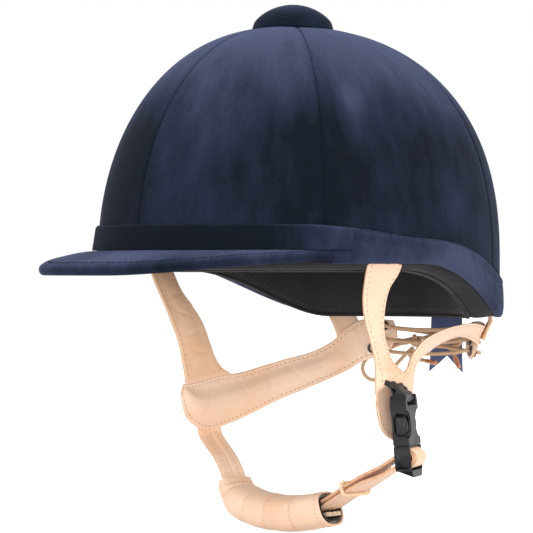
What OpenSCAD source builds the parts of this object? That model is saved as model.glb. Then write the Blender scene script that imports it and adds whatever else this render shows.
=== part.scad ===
// Velvet riding hat with a laced leather harness and a side release buckle.
// Millimetres. Wearer faces -Y, the wearer's left is +X, and +Z is up.
// The origin is the centre of the head opening, level with the rim at the sides.

/* [Dome] */
// Length of the velvet dome at the rim
hat_l = 256; // [244:1:268]
// Width of the velvet dome at the rim
hat_w = 202; // [194:1:212]
// Height of the dome above the side rim
crown_h = 134; // [126:1:142]
// How far the rim drops at the nape
nape_drop = 31; // [26:1:36]
// Fullness of the dome curve at the front
full_front = 2.18; // [2.1:0.02:2.5]
// Fullness of the dome curve at the back
full_back = 2.38; // [2.2:0.02:2.5]
// Forward lean of the crown
crown_fwd = 8; // [2:0.5:9]
// Thickness of the velvet cover
cover_t = 1.1; // [0.8:0.1:1.6]
// Thickness of the moulded shell
shell_t = 2.8; // [2.2:0.1:3.4]
// Thickness of the foam liner at the sides
liner_t = 13; // [11:0.5:15]
// Thickness of the foam liner at the crown
liner_top_t = 16; // [13:0.5:20]
// Gap between neighbouring layers
layer_gap = 0.15; // [0.12:0.01:0.2]

/* [Rim] */
// Height of the velvet band above the rim edge
band_h = 20; // [16:0.5:24]
// How much lower the band is over the ears
band_dip = 7.5; // [0:0.5:9]
// Thickness of the velvet band
band_t = 1.9; // [1.4:0.1:2.4]
// Depth of the felt edge below the rim, in front and at the sides
felt_drop = 5; // [3:0.5:6]
// Depth of the felt edge below the rim at the nape
felt_drop_back = 1.5; // [1:0.5:5]
// Height of the headband above the rim
headband_h = 38; // [30:1:44]
// Thickness of the padded headband
headband_t = 5.3; // [4:0.1:6.5]
// Thickness of the crown lining cloth
lining_t = 0.8; // [0.6:0.1:1.2]
// Thickness of the crown pad
crown_pad_t = 5; // [3:0.5:8]

/* [Peak] */
// Reach of the peak ahead of the dome
peak_reach = 51; // [44:1:58]
// How far the peak's outline lies inside the dome's half width
peak_in = 6; // [4:0.5:9]
// Half angle of the dome that the peak spans
peak_a = 62; // [60:1:64]
// Height of the peak's upper face where it meets the band
peak_root_z = 6.4; // [5.5:0.1:8]
// Height of the peak's upper face at its front edge
peak_tip_z = -2; // [-4:0.2:0]
// Thickness of the peak board
board_t = 2.6; // [2:0.1:3.2]
// Thickness of the cloth on the peak
cloth_t = 0.9; // [0.6:0.1:1.2]
// Width of cloth turned under the peak's edge
turn_under = 9; // [6:0.5:14]
// Height of the board's fixing flange on the shell
flange_h = 15; // [12:0.5:16]

/* [Crown button] */
// Diameter of the covered button
button_d = 46.5; // [40:0.5:54]
// Height of the covered button
button_h = 12.5; // [10:0.5:15]
// Diameter of the button's fixing post
post_d = 5; // [4:0.2:6]
// Diameter of the post's washer
washer_d = 18; // [14:0.5:22]

/* [Harness] */
// Drop of the chin strap's lowest point below the side rim
chin_drop = 143.5; // [134:0.5:152]
// Thickness of the harness leather
leather_t = 2; // [1.6:0.1:2.4]
// Crown of the jaw padding
jaw_pad = 2.6; // [1.5:0.1:3.4]
// Width of the flat stitched margin round the jaw padding
jaw_margin = 0.15; // [0.12:0.01:0.2]
// Inward lean of the harness below the rim, as a share of the half width
lean = 0.17; // [0.15:0.002:0.18]
// Diameter of the harness rivets
rivet_d = 3.9; // [3.4:0.1:4.4]
// Diameter of the rivet heads
rivet_head_d = 8.4; // [7:0.2:9]
// Height of the front rivets above the rim
rivet_z = 17; // [14:0.5:20]
// Bore of the lace eyelets
eyelet_bore = 3.6; // [3.4:0.1:3.8]
// Outer diameter of the eyelet flanges
eyelet_d = 6.4; // [6:0.1:6.8]

/* [Chin strap] */
// Width of the chin strap
strap_w = 17; // [15:0.5:17.5]
// Thickness of the chin strap
strap_t = 1.8; // [1.4:0.1:2]
// Half width of the chin cup across the chin
cup_hw = 13.2; // [12.5:0.1:14]
// Half height of the chin cup
cup_hh = 11.2; // [10:0.1:12]
// Thickness of the cup's leather
cup_leather_t = 1.3; // [1:0.1:1.5]
// Thickness of the cup's padding
cup_pad_t = 1.3; // [1:0.1:1.5]
// Thickness of the cup's lining
cup_lining_t = 0.6; // [0.5:0.1:0.8]
// How far the channels draw the cup's padding in
cup_channel = 0.9; // [0.4:0.1:1]
// Width of the keeper loop along the strap
keeper_w = 3.4; // [2.6:0.2:5]
// Thickness of the keeper loop
keeper_t = 1.8; // [1.2:0.1:2.2]

/* [Buckle] */
// Width of the buckle
buckle_w = 22; // [21:0.25:24]
// Thickness of the buckle
buckle_t = 9; // [8.6:0.1:10]
// Height of the socket from its mouth to the top bar
socket_h = 27.3; // [27:0.1:30]
// Height of the plug's frame
plug_h = 16; // [15.5:0.25:18]
// Side wall of the socket at its mouth
mouth_wall = 1.1; // [0.9:0.05:1.4]
// Clearance of the prongs in the socket
prong_gap = 0.15; // [0.1:0.01:0.25]
// Length of the prongs above the plug
prong_l = 17; // [15:0.5:17.5]
// Width of a prong's stem
prong_w = 2.2; // [1.8:0.1:2.6]
// Thickness of the prongs
prong_t = 4.8; // [4:0.1:5.2]
// Width of the black webbing
web_w = 15; // [13:0.5:16]
// Thickness of the black webbing
web_t = 1.3; // [1:0.1:1.5]

/* [Lace and ribbon] */
// Diameter of the braided lace
lace_d = 2.3; // [2:0.1:2.5]
// Diameter of the lace's knot
knot_d = 8; // [7:0.2:9]
// Length of an aglet
aglet_l = 8; // [6:0.5:10]
// Width of the ribbon
ribbon_w = 27; // [22:1:30]
// Thickness of the ribbon
ribbon_t = 0.7; // [0.5:0.1:1]
// Height of the ribbon bow
bow_h = 15; // [12:0.5:16]
// Half length of the ribbon bow as an angle of the dome
bow_a = 19; // [14:1:22]
// Lowest point of the ribbon tail below the side rim
tail_z = -67; // [-72:1:-60]

/* [Hidden] */

// Colours
velvet = [0.17, 0.2, 0.32];
velvet_dark = [0.08, 0.1, 0.15];
leather = [0.93, 0.76, 0.62];
black_cloth = [0.12, 0.12, 0.13];
plastic = [0.2, 0.23, 0.25];
lace_tan = [0.62, 0.5, 0.36];
ribbon_blue = [0.22, 0.26, 0.45];

// Half sizes and the offset of each layer from the velvet's outer face
hl = hat_l / 2;
hw = hat_w / 2;
peak_hw = hw - peak_in;
shell_o = -cover_t - layer_gap;
shell_i = shell_o - shell_t;
liner_o = shell_i - layer_gap;
liner_i = liner_o - liner_t;
liner_top = liner_o - liner_top_t;
tongue_gap = 0.45;
tongue_o = shell_i - tongue_gap;
headband_o = liner_i - layer_gap;

// Angles of the seams between the six velvet panels, front seam first
seams = [0, 57, 121, 180, 239, 303, 360];
seam_gap = 0.2;
col_step = 7.5;
cols = [for (a = [0:col_step:360 - col_step]) a];
// Rim shape: level at the sides, then falling to the nape
rim_turn = 86;
rim_run = 52;
// Height at which the dome's lower rows give way to the curved rows
low_z = 24;

// Half width, half length and drop for which the harness points below are drawn
drawn_for = [101, 128, 143.5];
function fit_x(x) = x * hw / drawn_for[0];
function fit_y(y) = y * hl / drawn_for[1];
function fit_z(z) = z > 0 ? z : z * chin_drop / drawn_for[2];
function fit(p) = [fit_x(p[0]), fit_y(p[1]), fit_z(p[2])];
function fit_all(P) = [for (p = P) fit(p)];
function fit_rows(R) = [for (r = R) [fit_y(r[0]), fit_z(r[1]), fit_y(r[2]), fit_z(r[3]), r[4], r[5]]];

function clamp01(t) = max(0, min(1, t));
function ease(t) = let (u = clamp01(t)) u * u * (3 - 2 * u);
function mix(a, b, t) = a + (b - a) * t;
function unit(v) = v / norm(v);
function flat(rows) = [for (r = rows) each r];
function around(a) = a > 180 ? 360 - a : a;
function rim_z(a) = -nape_drop * ease((around(abs(a)) - rim_turn) / rim_run);
// Height of the band's upper edge above the rim
function band_top(a) = band_h - band_dip * exp(-pow((around(abs(a)) - 88) / 21, 2));
// Depth of the felt edge below the rim
function felt_low(a) = mix(felt_drop, felt_drop_back, ease((around(abs(a)) - 90) / 24));
function fullness(a) = mix(full_back, full_front, (1 + cos(a)) / 2);

// Point of the dome at angle a and height z, offset d in plan and e in height
function dome_z(a, z, d, e) =
    let (h = crown_h + e, n = fullness(a), s = clamp01(max(z, 0) / h))
    let (c = pow(1 - pow(s, n), 1 / n))
    [(hw + d) * c * sin(a), -(hl + d) * c * cos(a) - crown_fwd * pow(s, 4), z];
// Point of the dome at angle a and rise v, from 0 at the rim to 90 at the crown
function dome_v(a, v, d, e) =
    let (n = fullness(a), s = pow(sin(v), 2 / n), c = pow(cos(v), 2 / n))
    [(hw + d) * c * sin(a), -(hl + d) * c * cos(a) - crown_fwd * pow(s, 4), (crown_h + e) * s];
function rise_of(a, z, e) = asin(pow(z / (crown_h + e), fullness(a) / 2));
function rim_pt(a, d, z) = [(hw + d) * sin(a), -(hl + d) * cos(a), z];
function dome_normal(a, z, d) =
    unit(cross(dome_z(a + 1, z, d, d) - dome_z(a - 1, z, d, d),
        dome_z(a, z + 1, d, d) - dome_z(a, z - 1, d, d)));

// Closed solid between two grids of points, joined round their border
module slab(A, B, wrap = false) {
    n = len(A);
    m = len(A[0]);
    k = n * m;
    i0 = max(0, floor(n / 2) - 1);
    j0 = max(0, floor(m / 2) - 1);
    across = A[i0][j0 + 1] - A[i0][j0];
    side = cross(A[i0 + 1][j0] - A[i0][j0], across) * (A[i0][j0] - B[i0][j0]);
    last = wrap ? m - 1 : m - 2;
    function id(o, i, j) = o + i * m + j % m;
    quads = [for (i = [0:n - 2], j = [0:last]) each
        [[id(0, i, j), id(0, i + 1, j + 1), id(0, i + 1, j)],
        [id(0, i, j), id(0, i, j + 1), id(0, i + 1, j + 1)],
        [id(k, i, j), id(k, i + 1, j), id(k, i + 1, j + 1)],
        [id(k, i, j), id(k, i + 1, j + 1), id(k, i, j + 1)]]];
    ends = [for (j = [0:last]) each
        [[id(0, 0, j + 1), id(0, 0, j), id(k, 0, j)],
        [id(0, 0, j + 1), id(k, 0, j), id(k, 0, j + 1)],
        [id(0, n - 1, j), id(0, n - 1, j + 1), id(k, n - 1, j + 1)],
        [id(0, n - 1, j), id(k, n - 1, j + 1), id(k, n - 1, j)]]];
    edges = wrap ? [] : [for (i = [0:n - 2]) each
        [[id(0, i, 0), id(0, i + 1, 0), id(k, i + 1, 0)],
        [id(0, i, 0), id(k, i + 1, 0), id(k, i, 0)],
        [id(0, i + 1, m - 1), id(0, i, m - 1), id(k, i, m - 1)],
        [id(0, i + 1, m - 1), id(k, i, m - 1), id(k, i + 1, m - 1)]]];
    all_faces = concat(quads, ends, edges);
    polyhedron(concat(flat(A), flat(B)),
        side > 0 ? all_faces : [for (f = all_faces) [f[0], f[2], f[1]]]);
}

// Bowl between two stacks of rings, each closed by one point at its top
module bowl(A, top_a, B, top_b) {
    n = len(A);
    m = len(A[0]);
    k = n * m + 1;
    side = cross(A[1][0] - A[0][0], A[0][1] - A[0][0]) * (A[0][0] - B[0][0]);
    function id(o, i, j) = o + i * m + j % m;
    quads = [for (i = [0:n - 2], j = [0:m - 1]) each
        [[id(0, i, j), id(0, i + 1, j + 1), id(0, i + 1, j)],
        [id(0, i, j), id(0, i, j + 1), id(0, i + 1, j + 1)],
        [id(k, i, j), id(k, i + 1, j), id(k, i + 1, j + 1)],
        [id(k, i, j), id(k, i + 1, j + 1), id(k, i, j + 1)]]];
    ends = [for (j = [0:m - 1]) each
        [[id(0, 0, j + 1), id(0, 0, j), id(k, 0, j)],
        [id(0, 0, j + 1), id(k, 0, j), id(k, 0, j + 1)],
        [id(0, n - 1, j), id(0, n - 1, j + 1), n * m],
        [id(k, n - 1, j + 1), id(k, n - 1, j), k + n * m]]];
    all_faces = concat(quads, ends);
    polyhedron(concat(flat(A), [top_a], flat(B), [top_b]),
        side > 0 ? all_faces : [for (f = all_faces) [f[0], f[2], f[1]]]);
}

// Solid swept through closed sections, open with flat ends or joined into a ring
module sweep(S, ring = false) {
    n = len(S);
    m = len(S[0]);
    mid = sum(S[0]) / m;
    side = sum([for (j = [0:m - 1])
        [cross(S[1][j] - S[0][j], S[0][(j + 1) % m] - S[0][j]) * (S[0][j] - mid)]])[0];
    function id(i, j) = (i % n) * m + j % m;
    quads = [for (i = [0:(ring ? n - 1 : n - 2)], j = [0:m - 1]) each
        [[id(i, j), id(i + 1, j + 1), id(i + 1, j)],
        [id(i, j), id(i, j + 1), id(i + 1, j + 1)]]];
    caps = ring ? [] : [[for (j = [m - 1:-1:0]) id(0, j)], [for (j = [0:m - 1]) id(n - 1, j)]];
    all_faces = concat(quads, caps);
    polyhedron(flat(S), side > 0 ? all_faces : [for (f = all_faces) [for (j = [len(f) - 1:-1:0]) f[j]]]);
}
function sum(v, i = 0) = i == len(v) - 1 ? v[i] : v[i] + sum(v, i + 1);

// Smooth path through hand set points, with k steps between neighbours
function heading(P, i) = let (n = len(P) - 1)
    i == 0 ? unit(P[1] - P[0]) : i == n ? unit(P[n] - P[n - 1])
        : unit(unit(P[i + 1] - P[i]) + unit(P[i] - P[i - 1]));
function smooth_path(P, k) = concat([for (i = [0:len(P) - 2], s = [0:k - 1])
    let (t = s / k, l = norm(P[i + 1] - P[i]), m = heading(P, i) * l, q = heading(P, i + 1) * l)
    P[i] * (1 + t * t * (2 * t - 3)) + m * t * (1 - t) * (1 - t)
        + P[i + 1] * t * t * (3 - 2 * t) - q * t * t * (1 - t)], [P[len(P) - 1]]);
function tangent(P, i) = unit(P[min(len(P) - 1, i + 1)] - P[max(0, i - 1)]);
function carried(P, i, v) = i == len(P) ? [] :
    let (t = tangent(P, i), w = unit(v - (v * t) * t)) concat([w], carried(P, i + 1, w));

// Round cord along a path
module cord(P, d, sides = 8) {
    start = abs(tangent(P, 0)[2]) < 0.8 ? [0, 0, 1] : [1, 0, 0];
    N = carried(P, 0, start);
    sweep([for (i = [0:len(P) - 1]) let (t = tangent(P, i), b = cross(t, N[i]))
        [for (j = [0:sides - 1]) P[i] + d / 2 * (cos(j * 360 / sides) * N[i]
            + sin(j * 360 / sides) * b)]]);
}

// Flat strap along P; with level, its width keeps the given direction and doesn't lean with the path
module strap(P, across, w, t, level = false) {
    sweep([for (i = [0:len(P) - 1])
        let (g = tangent(P, i), a = unit(level ? across[i] : across[i] - (across[i] * g) * g))
        let (n = unit(cross(g, a)))
        [P[i] - a * w / 2 - n * t / 2, P[i] + a * w / 2 - n * t / 2,
        P[i] + a * w / 2 + n * t / 2, P[i] - a * w / 2 + n * t / 2]]);
}

module at_normal(p, v) {
    translate(p) rotate([0, acos(v[2]), atan2(v[1], v[0])]) children();
}

// Dome layers

function layer_row(a, t, v_low, bottom, d, e) =
    t < 3 ? dome_z(a, mix(bottom, low_z, t / 3), d, e)
        : dome_v(a, mix(v_low, 90, (t - 3) / v_rows), d, e);
v_rows = 7;
function layer_rings(lift, d, e) = [for (t = [0:v_rows + 2])
    [for (a = cols) layer_row(a, t, rise_of(a, low_z, e), rim_z(a) + lift, d, e)]];
function crown_pt(e) = [0, -crown_fwd, crown_h + e];

shell_lift = 2.5;
liner_lift = 1;

module shell() color([0.16, 0.16, 0.17]) {
    difference() {
        bowl(layer_rings(shell_lift, shell_o, shell_o), crown_pt(shell_o),
            layer_rings(shell_lift, shell_i, shell_i), crown_pt(shell_i));
        translate([0, -crown_fwd, crown_h - 20]) cylinder(d = post_d + 0.4, h = 30, $fn = 32);
        for (r = rivet_spots) rivet_holes(r, 1);
        for (a = peak_rivet_angles) rivet_holes([a, peak_rivet_z], 1);
    }
}

module foam_liner() color([0.86, 0.86, 0.82]) {
    tongue_l = 52;
    tongue_cut = 4.2;
    difference() {
        bowl(layer_rings(liner_lift, liner_o, liner_o), crown_pt(liner_o),
            layer_rings(liner_lift, liner_i, liner_top), crown_pt(liner_top));
        translate([0, -crown_fwd, crown_h - 40]) cylinder(d = washer_d + 2, h = 40, $fn = 32);
        for (r = rivet_spots)
            at_normal(dome_z(r[0], r[1], liner_o, liner_o), dome_normal(r[0], r[1], liner_o))
                cube([tongue_l, 30, 2 * tongue_cut], center = true);
        for (a = peak_rivet_angles) rivet_holes([a, peak_rivet_z], 3);
    }
}

// Cloth dome under the foam, from just above the headband to the crown
module crown_lining() color(black_cloth) {
    d = headband_o;
    e = liner_top - layer_gap;
    bowl(upper_rings(4, d, e), crown_pt(e),
        upper_rings(4, d - lining_t, e - lining_t), crown_pt(e - lining_t));
}
// Rings of a layer from row t0 upwards, sunk below the layer by a pad's thickness
function upper_rings(t0, d, e, sink = [0]) = [for (t = [t0:v_rows + 2])
    let (h = sink[min(len(sink) - 1, t - t0)])
    [for (a = cols) layer_row(a, t, rise_of(a, low_z, e), 0, d, e) - [0, 0, h]]];

module crown_pad() color([0.2, 0.2, 0.21]) {
    d = headband_o - lining_t - 0.2;
    e = liner_top - layer_gap - lining_t - 0.2;
    t0 = v_rows + 1;
    bowl(upper_rings(t0, d, e), crown_pt(e),
        upper_rings(t0, d, e, [1, crown_pad_t]), crown_pt(e - crown_pad_t));
}

// Closed section carried round the rim; profile rows are [offset, height above the rim]
function rim_row(a, profile) = [for (p = profile) dome_z(a, rim_z(a) + p[1], p[0], p[0])];

module headband() color(black_cloth) {
    i = headband_o - headband_t;
    e = liner_top - layer_gap;
    // Point on the straight run of the foam's inner face between two of its rows
    face = function(a, z) let (p = dome_z(a, low_z, headband_o, e),
        q = layer_row(a, 4, rise_of(a, low_z, e), 0, headband_o, e))
        mix(p, q, (z - low_z) / (q[2] - low_z));
    sweep([for (a = cols) let (r = rim_z(a), top = face(a, headband_h), out = [sin(a), -cos(a), 0])
        [dome_z(a, r - felt_low(a) - 0.2, headband_o, 0), dome_z(a, low_z, headband_o, e),
        top, top - 0.9 * out + [0, 0, 0.4], top - (headband_t - 1.2) * out - [0, 0, 3],
        dome_z(a, headband_h * 0.6, i, 0), dome_z(a, r + 8, i, 0),
        dome_z(a, r - felt_low(a) + 1.5, i + 2, 0),
        dome_z(a, r - felt_low(a) - 0.2, headband_o - 1, 0)]], true);
}

// Felt roll that covers the lower edge of the foam
module rim_felt() color([0.24, 0.21, 0.22]) {
    i = liner_i + 0.3;
    sweep([for (a = cols) let (f = felt_low(a)) rim_row(a, [[-7.2, liner_lift - 0.5],
        [i, liner_lift - 0.5], [i, -f + 0.8], [i + 1.4, -f], [-12.4, -f], [-10.2, -0.52 * f]])], true);
}

// Velvet panels

panel_lift = 2.6;
top_share = 0.86;
function panel_bottom(a) = around(a) < peak_a ? flange_h + 0.5 : rim_z(a) + panel_lift;
function panel_angles(k) = let (a0 = seams[k] + seam_gap, a1 = seams[k + 1] - seam_gap)
    concat([a0], [for (a = [col_step:col_step:360]) if (a > a0 + 1 && a < a1 - 1) a], [a1]);
function seam_dip(a, k) = 0.45 * exp(-min(a - seams[k], seams[k + 1] - a) / 1.4);
function panel_row(a, t, d) = let (v = rise_of(a, low_z, d))
    t < 3 ? dome_z(a, mix(panel_bottom(a), low_z, t / 3), d, d)
        : t < v_rows + 3 ? dome_v(a, mix(v, 90, (t - 3) / v_rows), d, d)
        : mix(panel_row(a, t - 1, d), crown_pt(d), top_share);

module velvet_panel(k) color(velvet) {
    angles = panel_angles(k);
    slab([for (a = angles) [for (t = [0:v_rows + 3]) panel_row(a, t, -seam_dip(a, k))]],
        [for (a = angles) [for (t = [0:v_rows + 3]) panel_row(a, t, -cover_t)]]);
}
module velvet_panel_1() velvet_panel(0);
module velvet_panel_2() velvet_panel(1);
module velvet_panel_3() velvet_panel(2);
module velvet_panel_4() velvet_panel(3);
module velvet_panel_5() velvet_panel(4);
module velvet_panel_6() velvet_panel(5);

// Velvet bands

band_in = 0.3;
band_split = peak_a + 1.9;
// Where the peak's cover stops, short of the angle at which its outline meets the dome
peak_end = peak_a - 1.2;
peak_cols = concat([-peak_end, -peak_end + 2.8], [for (a = [-60:col_step:60])
    if (abs(a) < peak_end - 4) a], [peak_end - 2.8, peak_end]);

module band_front() color(velvet_dark) {
    angles = concat([-band_split + 0.2], [for (a = [-60:col_step:60]) a], [band_split - 0.2]);
    z0 = peak_root_z + 0.1;
    height = function(a, j) [z0, z0 + 3, 0.7 * band_top(a), band_top(a)][j];
    bulge = [band_t - 0.5, band_t, band_t, band_t - 0.6];
    slab([for (a = angles) [for (j = [0:3]) dome_z(a, height(a, j), bulge[j], bulge[j])]],
        [for (a = angles) [for (j = [0:3]) dome_z(a, height(a, j), band_in, band_in)]]);
}

// Velvet band that rolls under the rim from one end of the peak to the other
module band_back() color(velvet) {
    angles = concat([band_split], [for (a = [67.5:col_step:292.5]) a], [360 - band_split]);
    lip = shell_i;
    sweep([for (a = angles) let (h = band_top(a)) rim_row(a, [[band_in, h], [band_t - 0.6, h + 0.2],
        [band_t, 0.7 * h], [band_t + 0.2, 6], [band_t, 1.4], [band_t - 1.1, -0.7], [-0.8, -1.3],
        [lip + 0.5, -0.8], [lip, 0.3], [lip + 0.4, 1.6], [-1, 1.9], [band_in, 2.4]])], false);
}

// Peak

// Outer edge of the peak for the dome angle a, and the height of its upper face there
peak_turn = 69.9;
function peak_edge(a, inset) = let (g = a * peak_turn / peak_a)
    [(peak_hw - inset) * sin(g), -(hl + peak_reach - inset) * cos(g), 0];
function edge_z(a) = let (g = abs(a) * peak_turn / peak_a)
    mix(peak_root_z - end_drop, peak_tip_z, ease((peak_turn - g) / 55));
end_drop = 1;
// Point on the peak between its root (u 0) and its edge (u 1), dz under the upper face
function peak_pt(a, root_d, inset, u, dz) =
    let (p = rim_pt(a, root_d, 0), q = peak_edge(a, inset), w = mix(p, q, u))
    let (p0 = rim_pt(a, 0, 0), q0 = peak_edge(a, 0), run = q0 - p0)
    let (f = clamp01((w - p0) * run / (run * run)))
    [w[0], w[1], mix(peak_root_z, edge_z(a), f) + peak_crown * min(1, norm(run) / 30) * sin(180 * f) - dz];
peak_gap = 0.5;
peak_crown = 0.8;
board_cols = [for (a = peak_cols) if (abs(a) < peak_end - 1) a];
board_top = cloth_t + peak_gap;
board_low = board_top + board_t;
peak_rivet_angles = [-45, -15, 15, 45];
peak_rivet_z = 10;

module peak_board() color([0.15, 0.15, 0.16]) {
    fo = -layer_gap;
    difference() {
        sweep([for (a = board_cols)
            let (top = flange_h)
            [rim_pt(a, shell_o + layer_gap, peak_root_z - board_low),
            dome_z(a, top, shell_o + layer_gap, shell_o + layer_gap),
            dome_z(a, top, fo, fo), rim_pt(a, fo, peak_root_z - board_top),
            peak_pt(a, fo, board_top, 0.5, board_top), peak_pt(a, fo, board_top, 1, board_top),
            peak_pt(a, fo, board_top, 1, board_low), peak_pt(a, fo, board_top, 0.5, board_low)]]);
        for (a = peak_rivet_angles) rivet_holes([a, peak_rivet_z], 2);
    }
}

module peak_top_cover() color(velvet) {
    r = 0.05;
    low = board_low + peak_gap + cloth_t;
    outer_row = function(a) let (c = 0.8 * edge_share(a)) [peak_pt(a, r, 0, 0, 0), peak_pt(a, r, 0, 0.5, 0),
        peak_pt(a, r, c, 1, 0), peak_pt(a, r, 0, 1, low * 0.28), peak_pt(a, r, 0, 1, low * 0.72),
        peak_pt(a, r, c, 1, low), peak_pt(a, r, 0, turn_u(a), low)];
    inner_row = function(a) let (c = cloth_t * edge_share(a)) [peak_pt(a, r, 0, 0, cloth_t),
        peak_pt(a, r, 0, 0.5, cloth_t), peak_pt(a, r, c, 1, cloth_t), peak_pt(a, r, c, 1, low * 0.32),
        peak_pt(a, r, c, 1, low * 0.68), peak_pt(a, r, c, 1, low - cloth_t),
        peak_pt(a, r, 0, turn_u(a), low - cloth_t)];
    slab([for (a = peak_cols) outer_row(a)], [for (a = peak_cols) inner_row(a)]);
}
// Share of the edge's rounding and cloth that is left where the peak runs out at its ends
function edge_share(a) = min(1, norm(peak_edge(a, 0) - rim_pt(a, 0, 0)) / 9);
// Share of the peak's depth at which the turned cloth ends
function turn_u(a) = 1 - min(0.45, turn_under / norm(peak_edge(a, 0) - rim_pt(a, 0, 0)));

module peak_under_cover() color(velvet_dark) {
    top = board_low + peak_gap;
    rows = [1, 0.7, 0.4, 0.12, 0];
    at = function(a, s, dz) peak_pt(a, shell_i, 0, s * (turn_u(a) - 0.02), top + dz);
    slab([for (a = peak_cols) [for (s = rows) at(a, s, 0)]],
        [for (a = peak_cols) [for (s = rows) at(a, s, cloth_t)]]);
}

// Crown button

button_base = crown_h + 0.2;
button_tuck = 1;
button_curve = 1.45;
module button_profile(shrink, flat_z) {
    r = button_d / 2 - shrink;
    h = button_h - shrink;
    n = 10;
    polygon(concat([for (i = [0:n]) let (t = 90 * i / n)
        [r * cos(t), h * pow(sin(t), button_curve)]], [[0, flat_z], [r - 3, flat_z]]));
}
module button_cover() color(velvet_dark) {
    t = cover_t;
    translate([0, -crown_fwd, button_base]) difference() {
        rotate_extrude($fn = 48) union() {
            button_profile(0, 0);
            translate([button_d / 2 - 3, -button_tuck]) square([3, button_tuck]);
        }
        rotate_extrude($fn = 48) button_profile(t + 0.1, 0);
        translate([0, 0, -3]) cylinder(r = button_d / 2 - 3 + 0.01, h = 3.2, $fn = 48);
    }
}
module button_core() color([0.5, 0.4, 0.3]) {
    post_l = shell_t + cover_t + 6;
    translate([0, -crown_fwd, button_base]) {
        rotate_extrude($fn = 48) union() {
            intersection() {
                button_profile(cover_t + 0.2, 0.3);
                translate([0, 0.3]) square([button_d, button_h]);
            }
            translate([0, -post_l]) square([post_d / 2, post_l + 1]);
        }
    }
}
module button_washer() color("silver") {
    z = crown_h + shell_i - 2.4;
    translate([0, -crown_fwd, z]) rotate_extrude($fn = 40)
        translate([post_d / 2 + 0.15, 0]) square([washer_d / 2 - post_d / 2 - 0.15, 1.2]);
}

// Rivets: rows are [angle, height]

strap_mid_y = fit_y(-29);
rivet_a = acos(-strap_mid_y / (hl + tongue_o));
hanger_a = 141;
hanger_rivet_z = -13;
rivet_spots = [[rivet_a, rivet_z], [360 - rivet_a, rivet_z],
    [hanger_a, hanger_rivet_z], [360 - hanger_a, hanger_rivet_z]];
rivet_gap = 0.2;
sink = 1;

// Holes for a rivet: kind 1 in the shell, 2 in the peak flange, 3 in the foam, 4 in leather
module rivet_holes(r, kind) {
    p = dome_z(r[0], r[1], shell_o, shell_o);
    v = dome_normal(r[0], r[1], shell_o);
    at_normal(p, v) {
        if (kind < 3 || kind == 4)
            translate([0, 0, -12]) cylinder(d = rivet_d + 2 * rivet_gap, h = 20, $fn = 32);
        if (kind == 1 && len(search(r[1], [peak_rivet_z])) == 0)
            translate([0, 0, -sink]) cylinder(d = rivet_head_d + 2 * rivet_gap, h = 5, $fn = 32);
        if (kind == 2)
            translate([0, 0, cover_t - layer_gap - 0.55]) cylinder(d = rivet_head_d - 1.6, h = 3, $fn = 32);
        if (kind == 3)
            translate([0, 0, -shell_t - 2.6]) cylinder(d = rivet_head_d + 1, h = 4, $fn = 32);
    }
}

// Rivet along +Z with its outer head's face at z 0 and its inner head below
module rivet(outer_d, outer_h, grip) {
    inner_h = 0.9;
    translate([0, 0, -outer_h]) cylinder(d = outer_d, h = outer_h, $fn = 32);
    translate([0, 0, -outer_h - grip]) cylinder(d = rivet_d, h = grip + 0.1, $fn = 32);
    translate([0, 0, -outer_h - grip - inner_h])
        cylinder(d = rivet_head_d, h = inner_h, $fn = 32);
}

module harness_rivets() color("silver") {
    outer_h = 0.5;
    grip = shell_t - sink + tongue_gap + leather_t + 0.5;
    for (r = rivet_spots)
        at_normal(dome_z(r[0], r[1], shell_o, shell_o), dome_normal(r[0], r[1], shell_o))
            translate([0, 0, outer_h - sink + 0.05]) rivet(rivet_head_d, outer_h, grip);
}
module peak_rivets() color("silver") {
    outer_h = 0.4;
    for (a = peak_rivet_angles)
        at_normal(dome_z(a, peak_rivet_z, shell_o, shell_o), dome_normal(a, peak_rivet_z, shell_o))
            translate([0, 0, cover_t - layer_gap - 0.05]) rivet(rivet_head_d - 2.2, outer_h, shell_t + 1.25);
}

// Harness leather

hx = hw + tongue_o;
hy = hl + tongue_o;
lean_run = 18;
flat_y = -5;
function rim_at_y(y) = rim_z(acos(max(-1, min(1, -y / hl))));
function lean_at(y, z) = 1 - lean * (1 - exp(min(0, z - rim_at_y(y)) / lean_run));
// Distance of the harness's outer face from the middle plane at depth y and height z
function side_x(y, z) =
    let (h = z - rim_at_y(y), k = lean_at(y, z), w = clamp01(-h / 25))
    let (yy = y < flat_y ? mix(y, flat_y, w) : y, q = yy / (hy * (1 - 0.35 * (1 - k))))
    let (n = fullness(72), c = z > 0 ? pow(1 - pow(z / (crown_h + shell_i), n), 1 / n) : 1)
    hx * k * c * sqrt(max(0, 1 - q * q / (c * c)));
function side_pt(s, y, z, off) = [s * (side_x(y, z) + off), y, z];
function side_normal(s, y, z) = let (v = cross([s * (side_x(y + 1, z) - side_x(y - 1, z)), 2, 0],
    [s * (side_x(y, z + 1) - side_x(y, z - 1)), 0, 2])) unit(v * s);

// Leather piece: rows are [y, z] of one edge, [y, z] of the other, the second edge's tuck
// and the share of the padding's crown there
function leather_pt(s, r, u, off) = let (y = mix(r[0], r[2], u), z = mix(r[1], r[3], u))
    let (n = side_normal(s, y, z), tuck = len(r) > 4 ? r[4] * u : 0)
    side_pt(s, y, z, -tuck) + n * off;
module leather_piece(s, rows, across, pad, t) {
    slab([for (r = rows) [for (u = across) leather_pt(s, r, u, 0)]],
        [for (r = rows) [for (u = across)
            leather_pt(s, r, u, -t - pad * r[5] * ease((min(u, 1 - u) - jaw_margin) / 0.3))]]);
}

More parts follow.
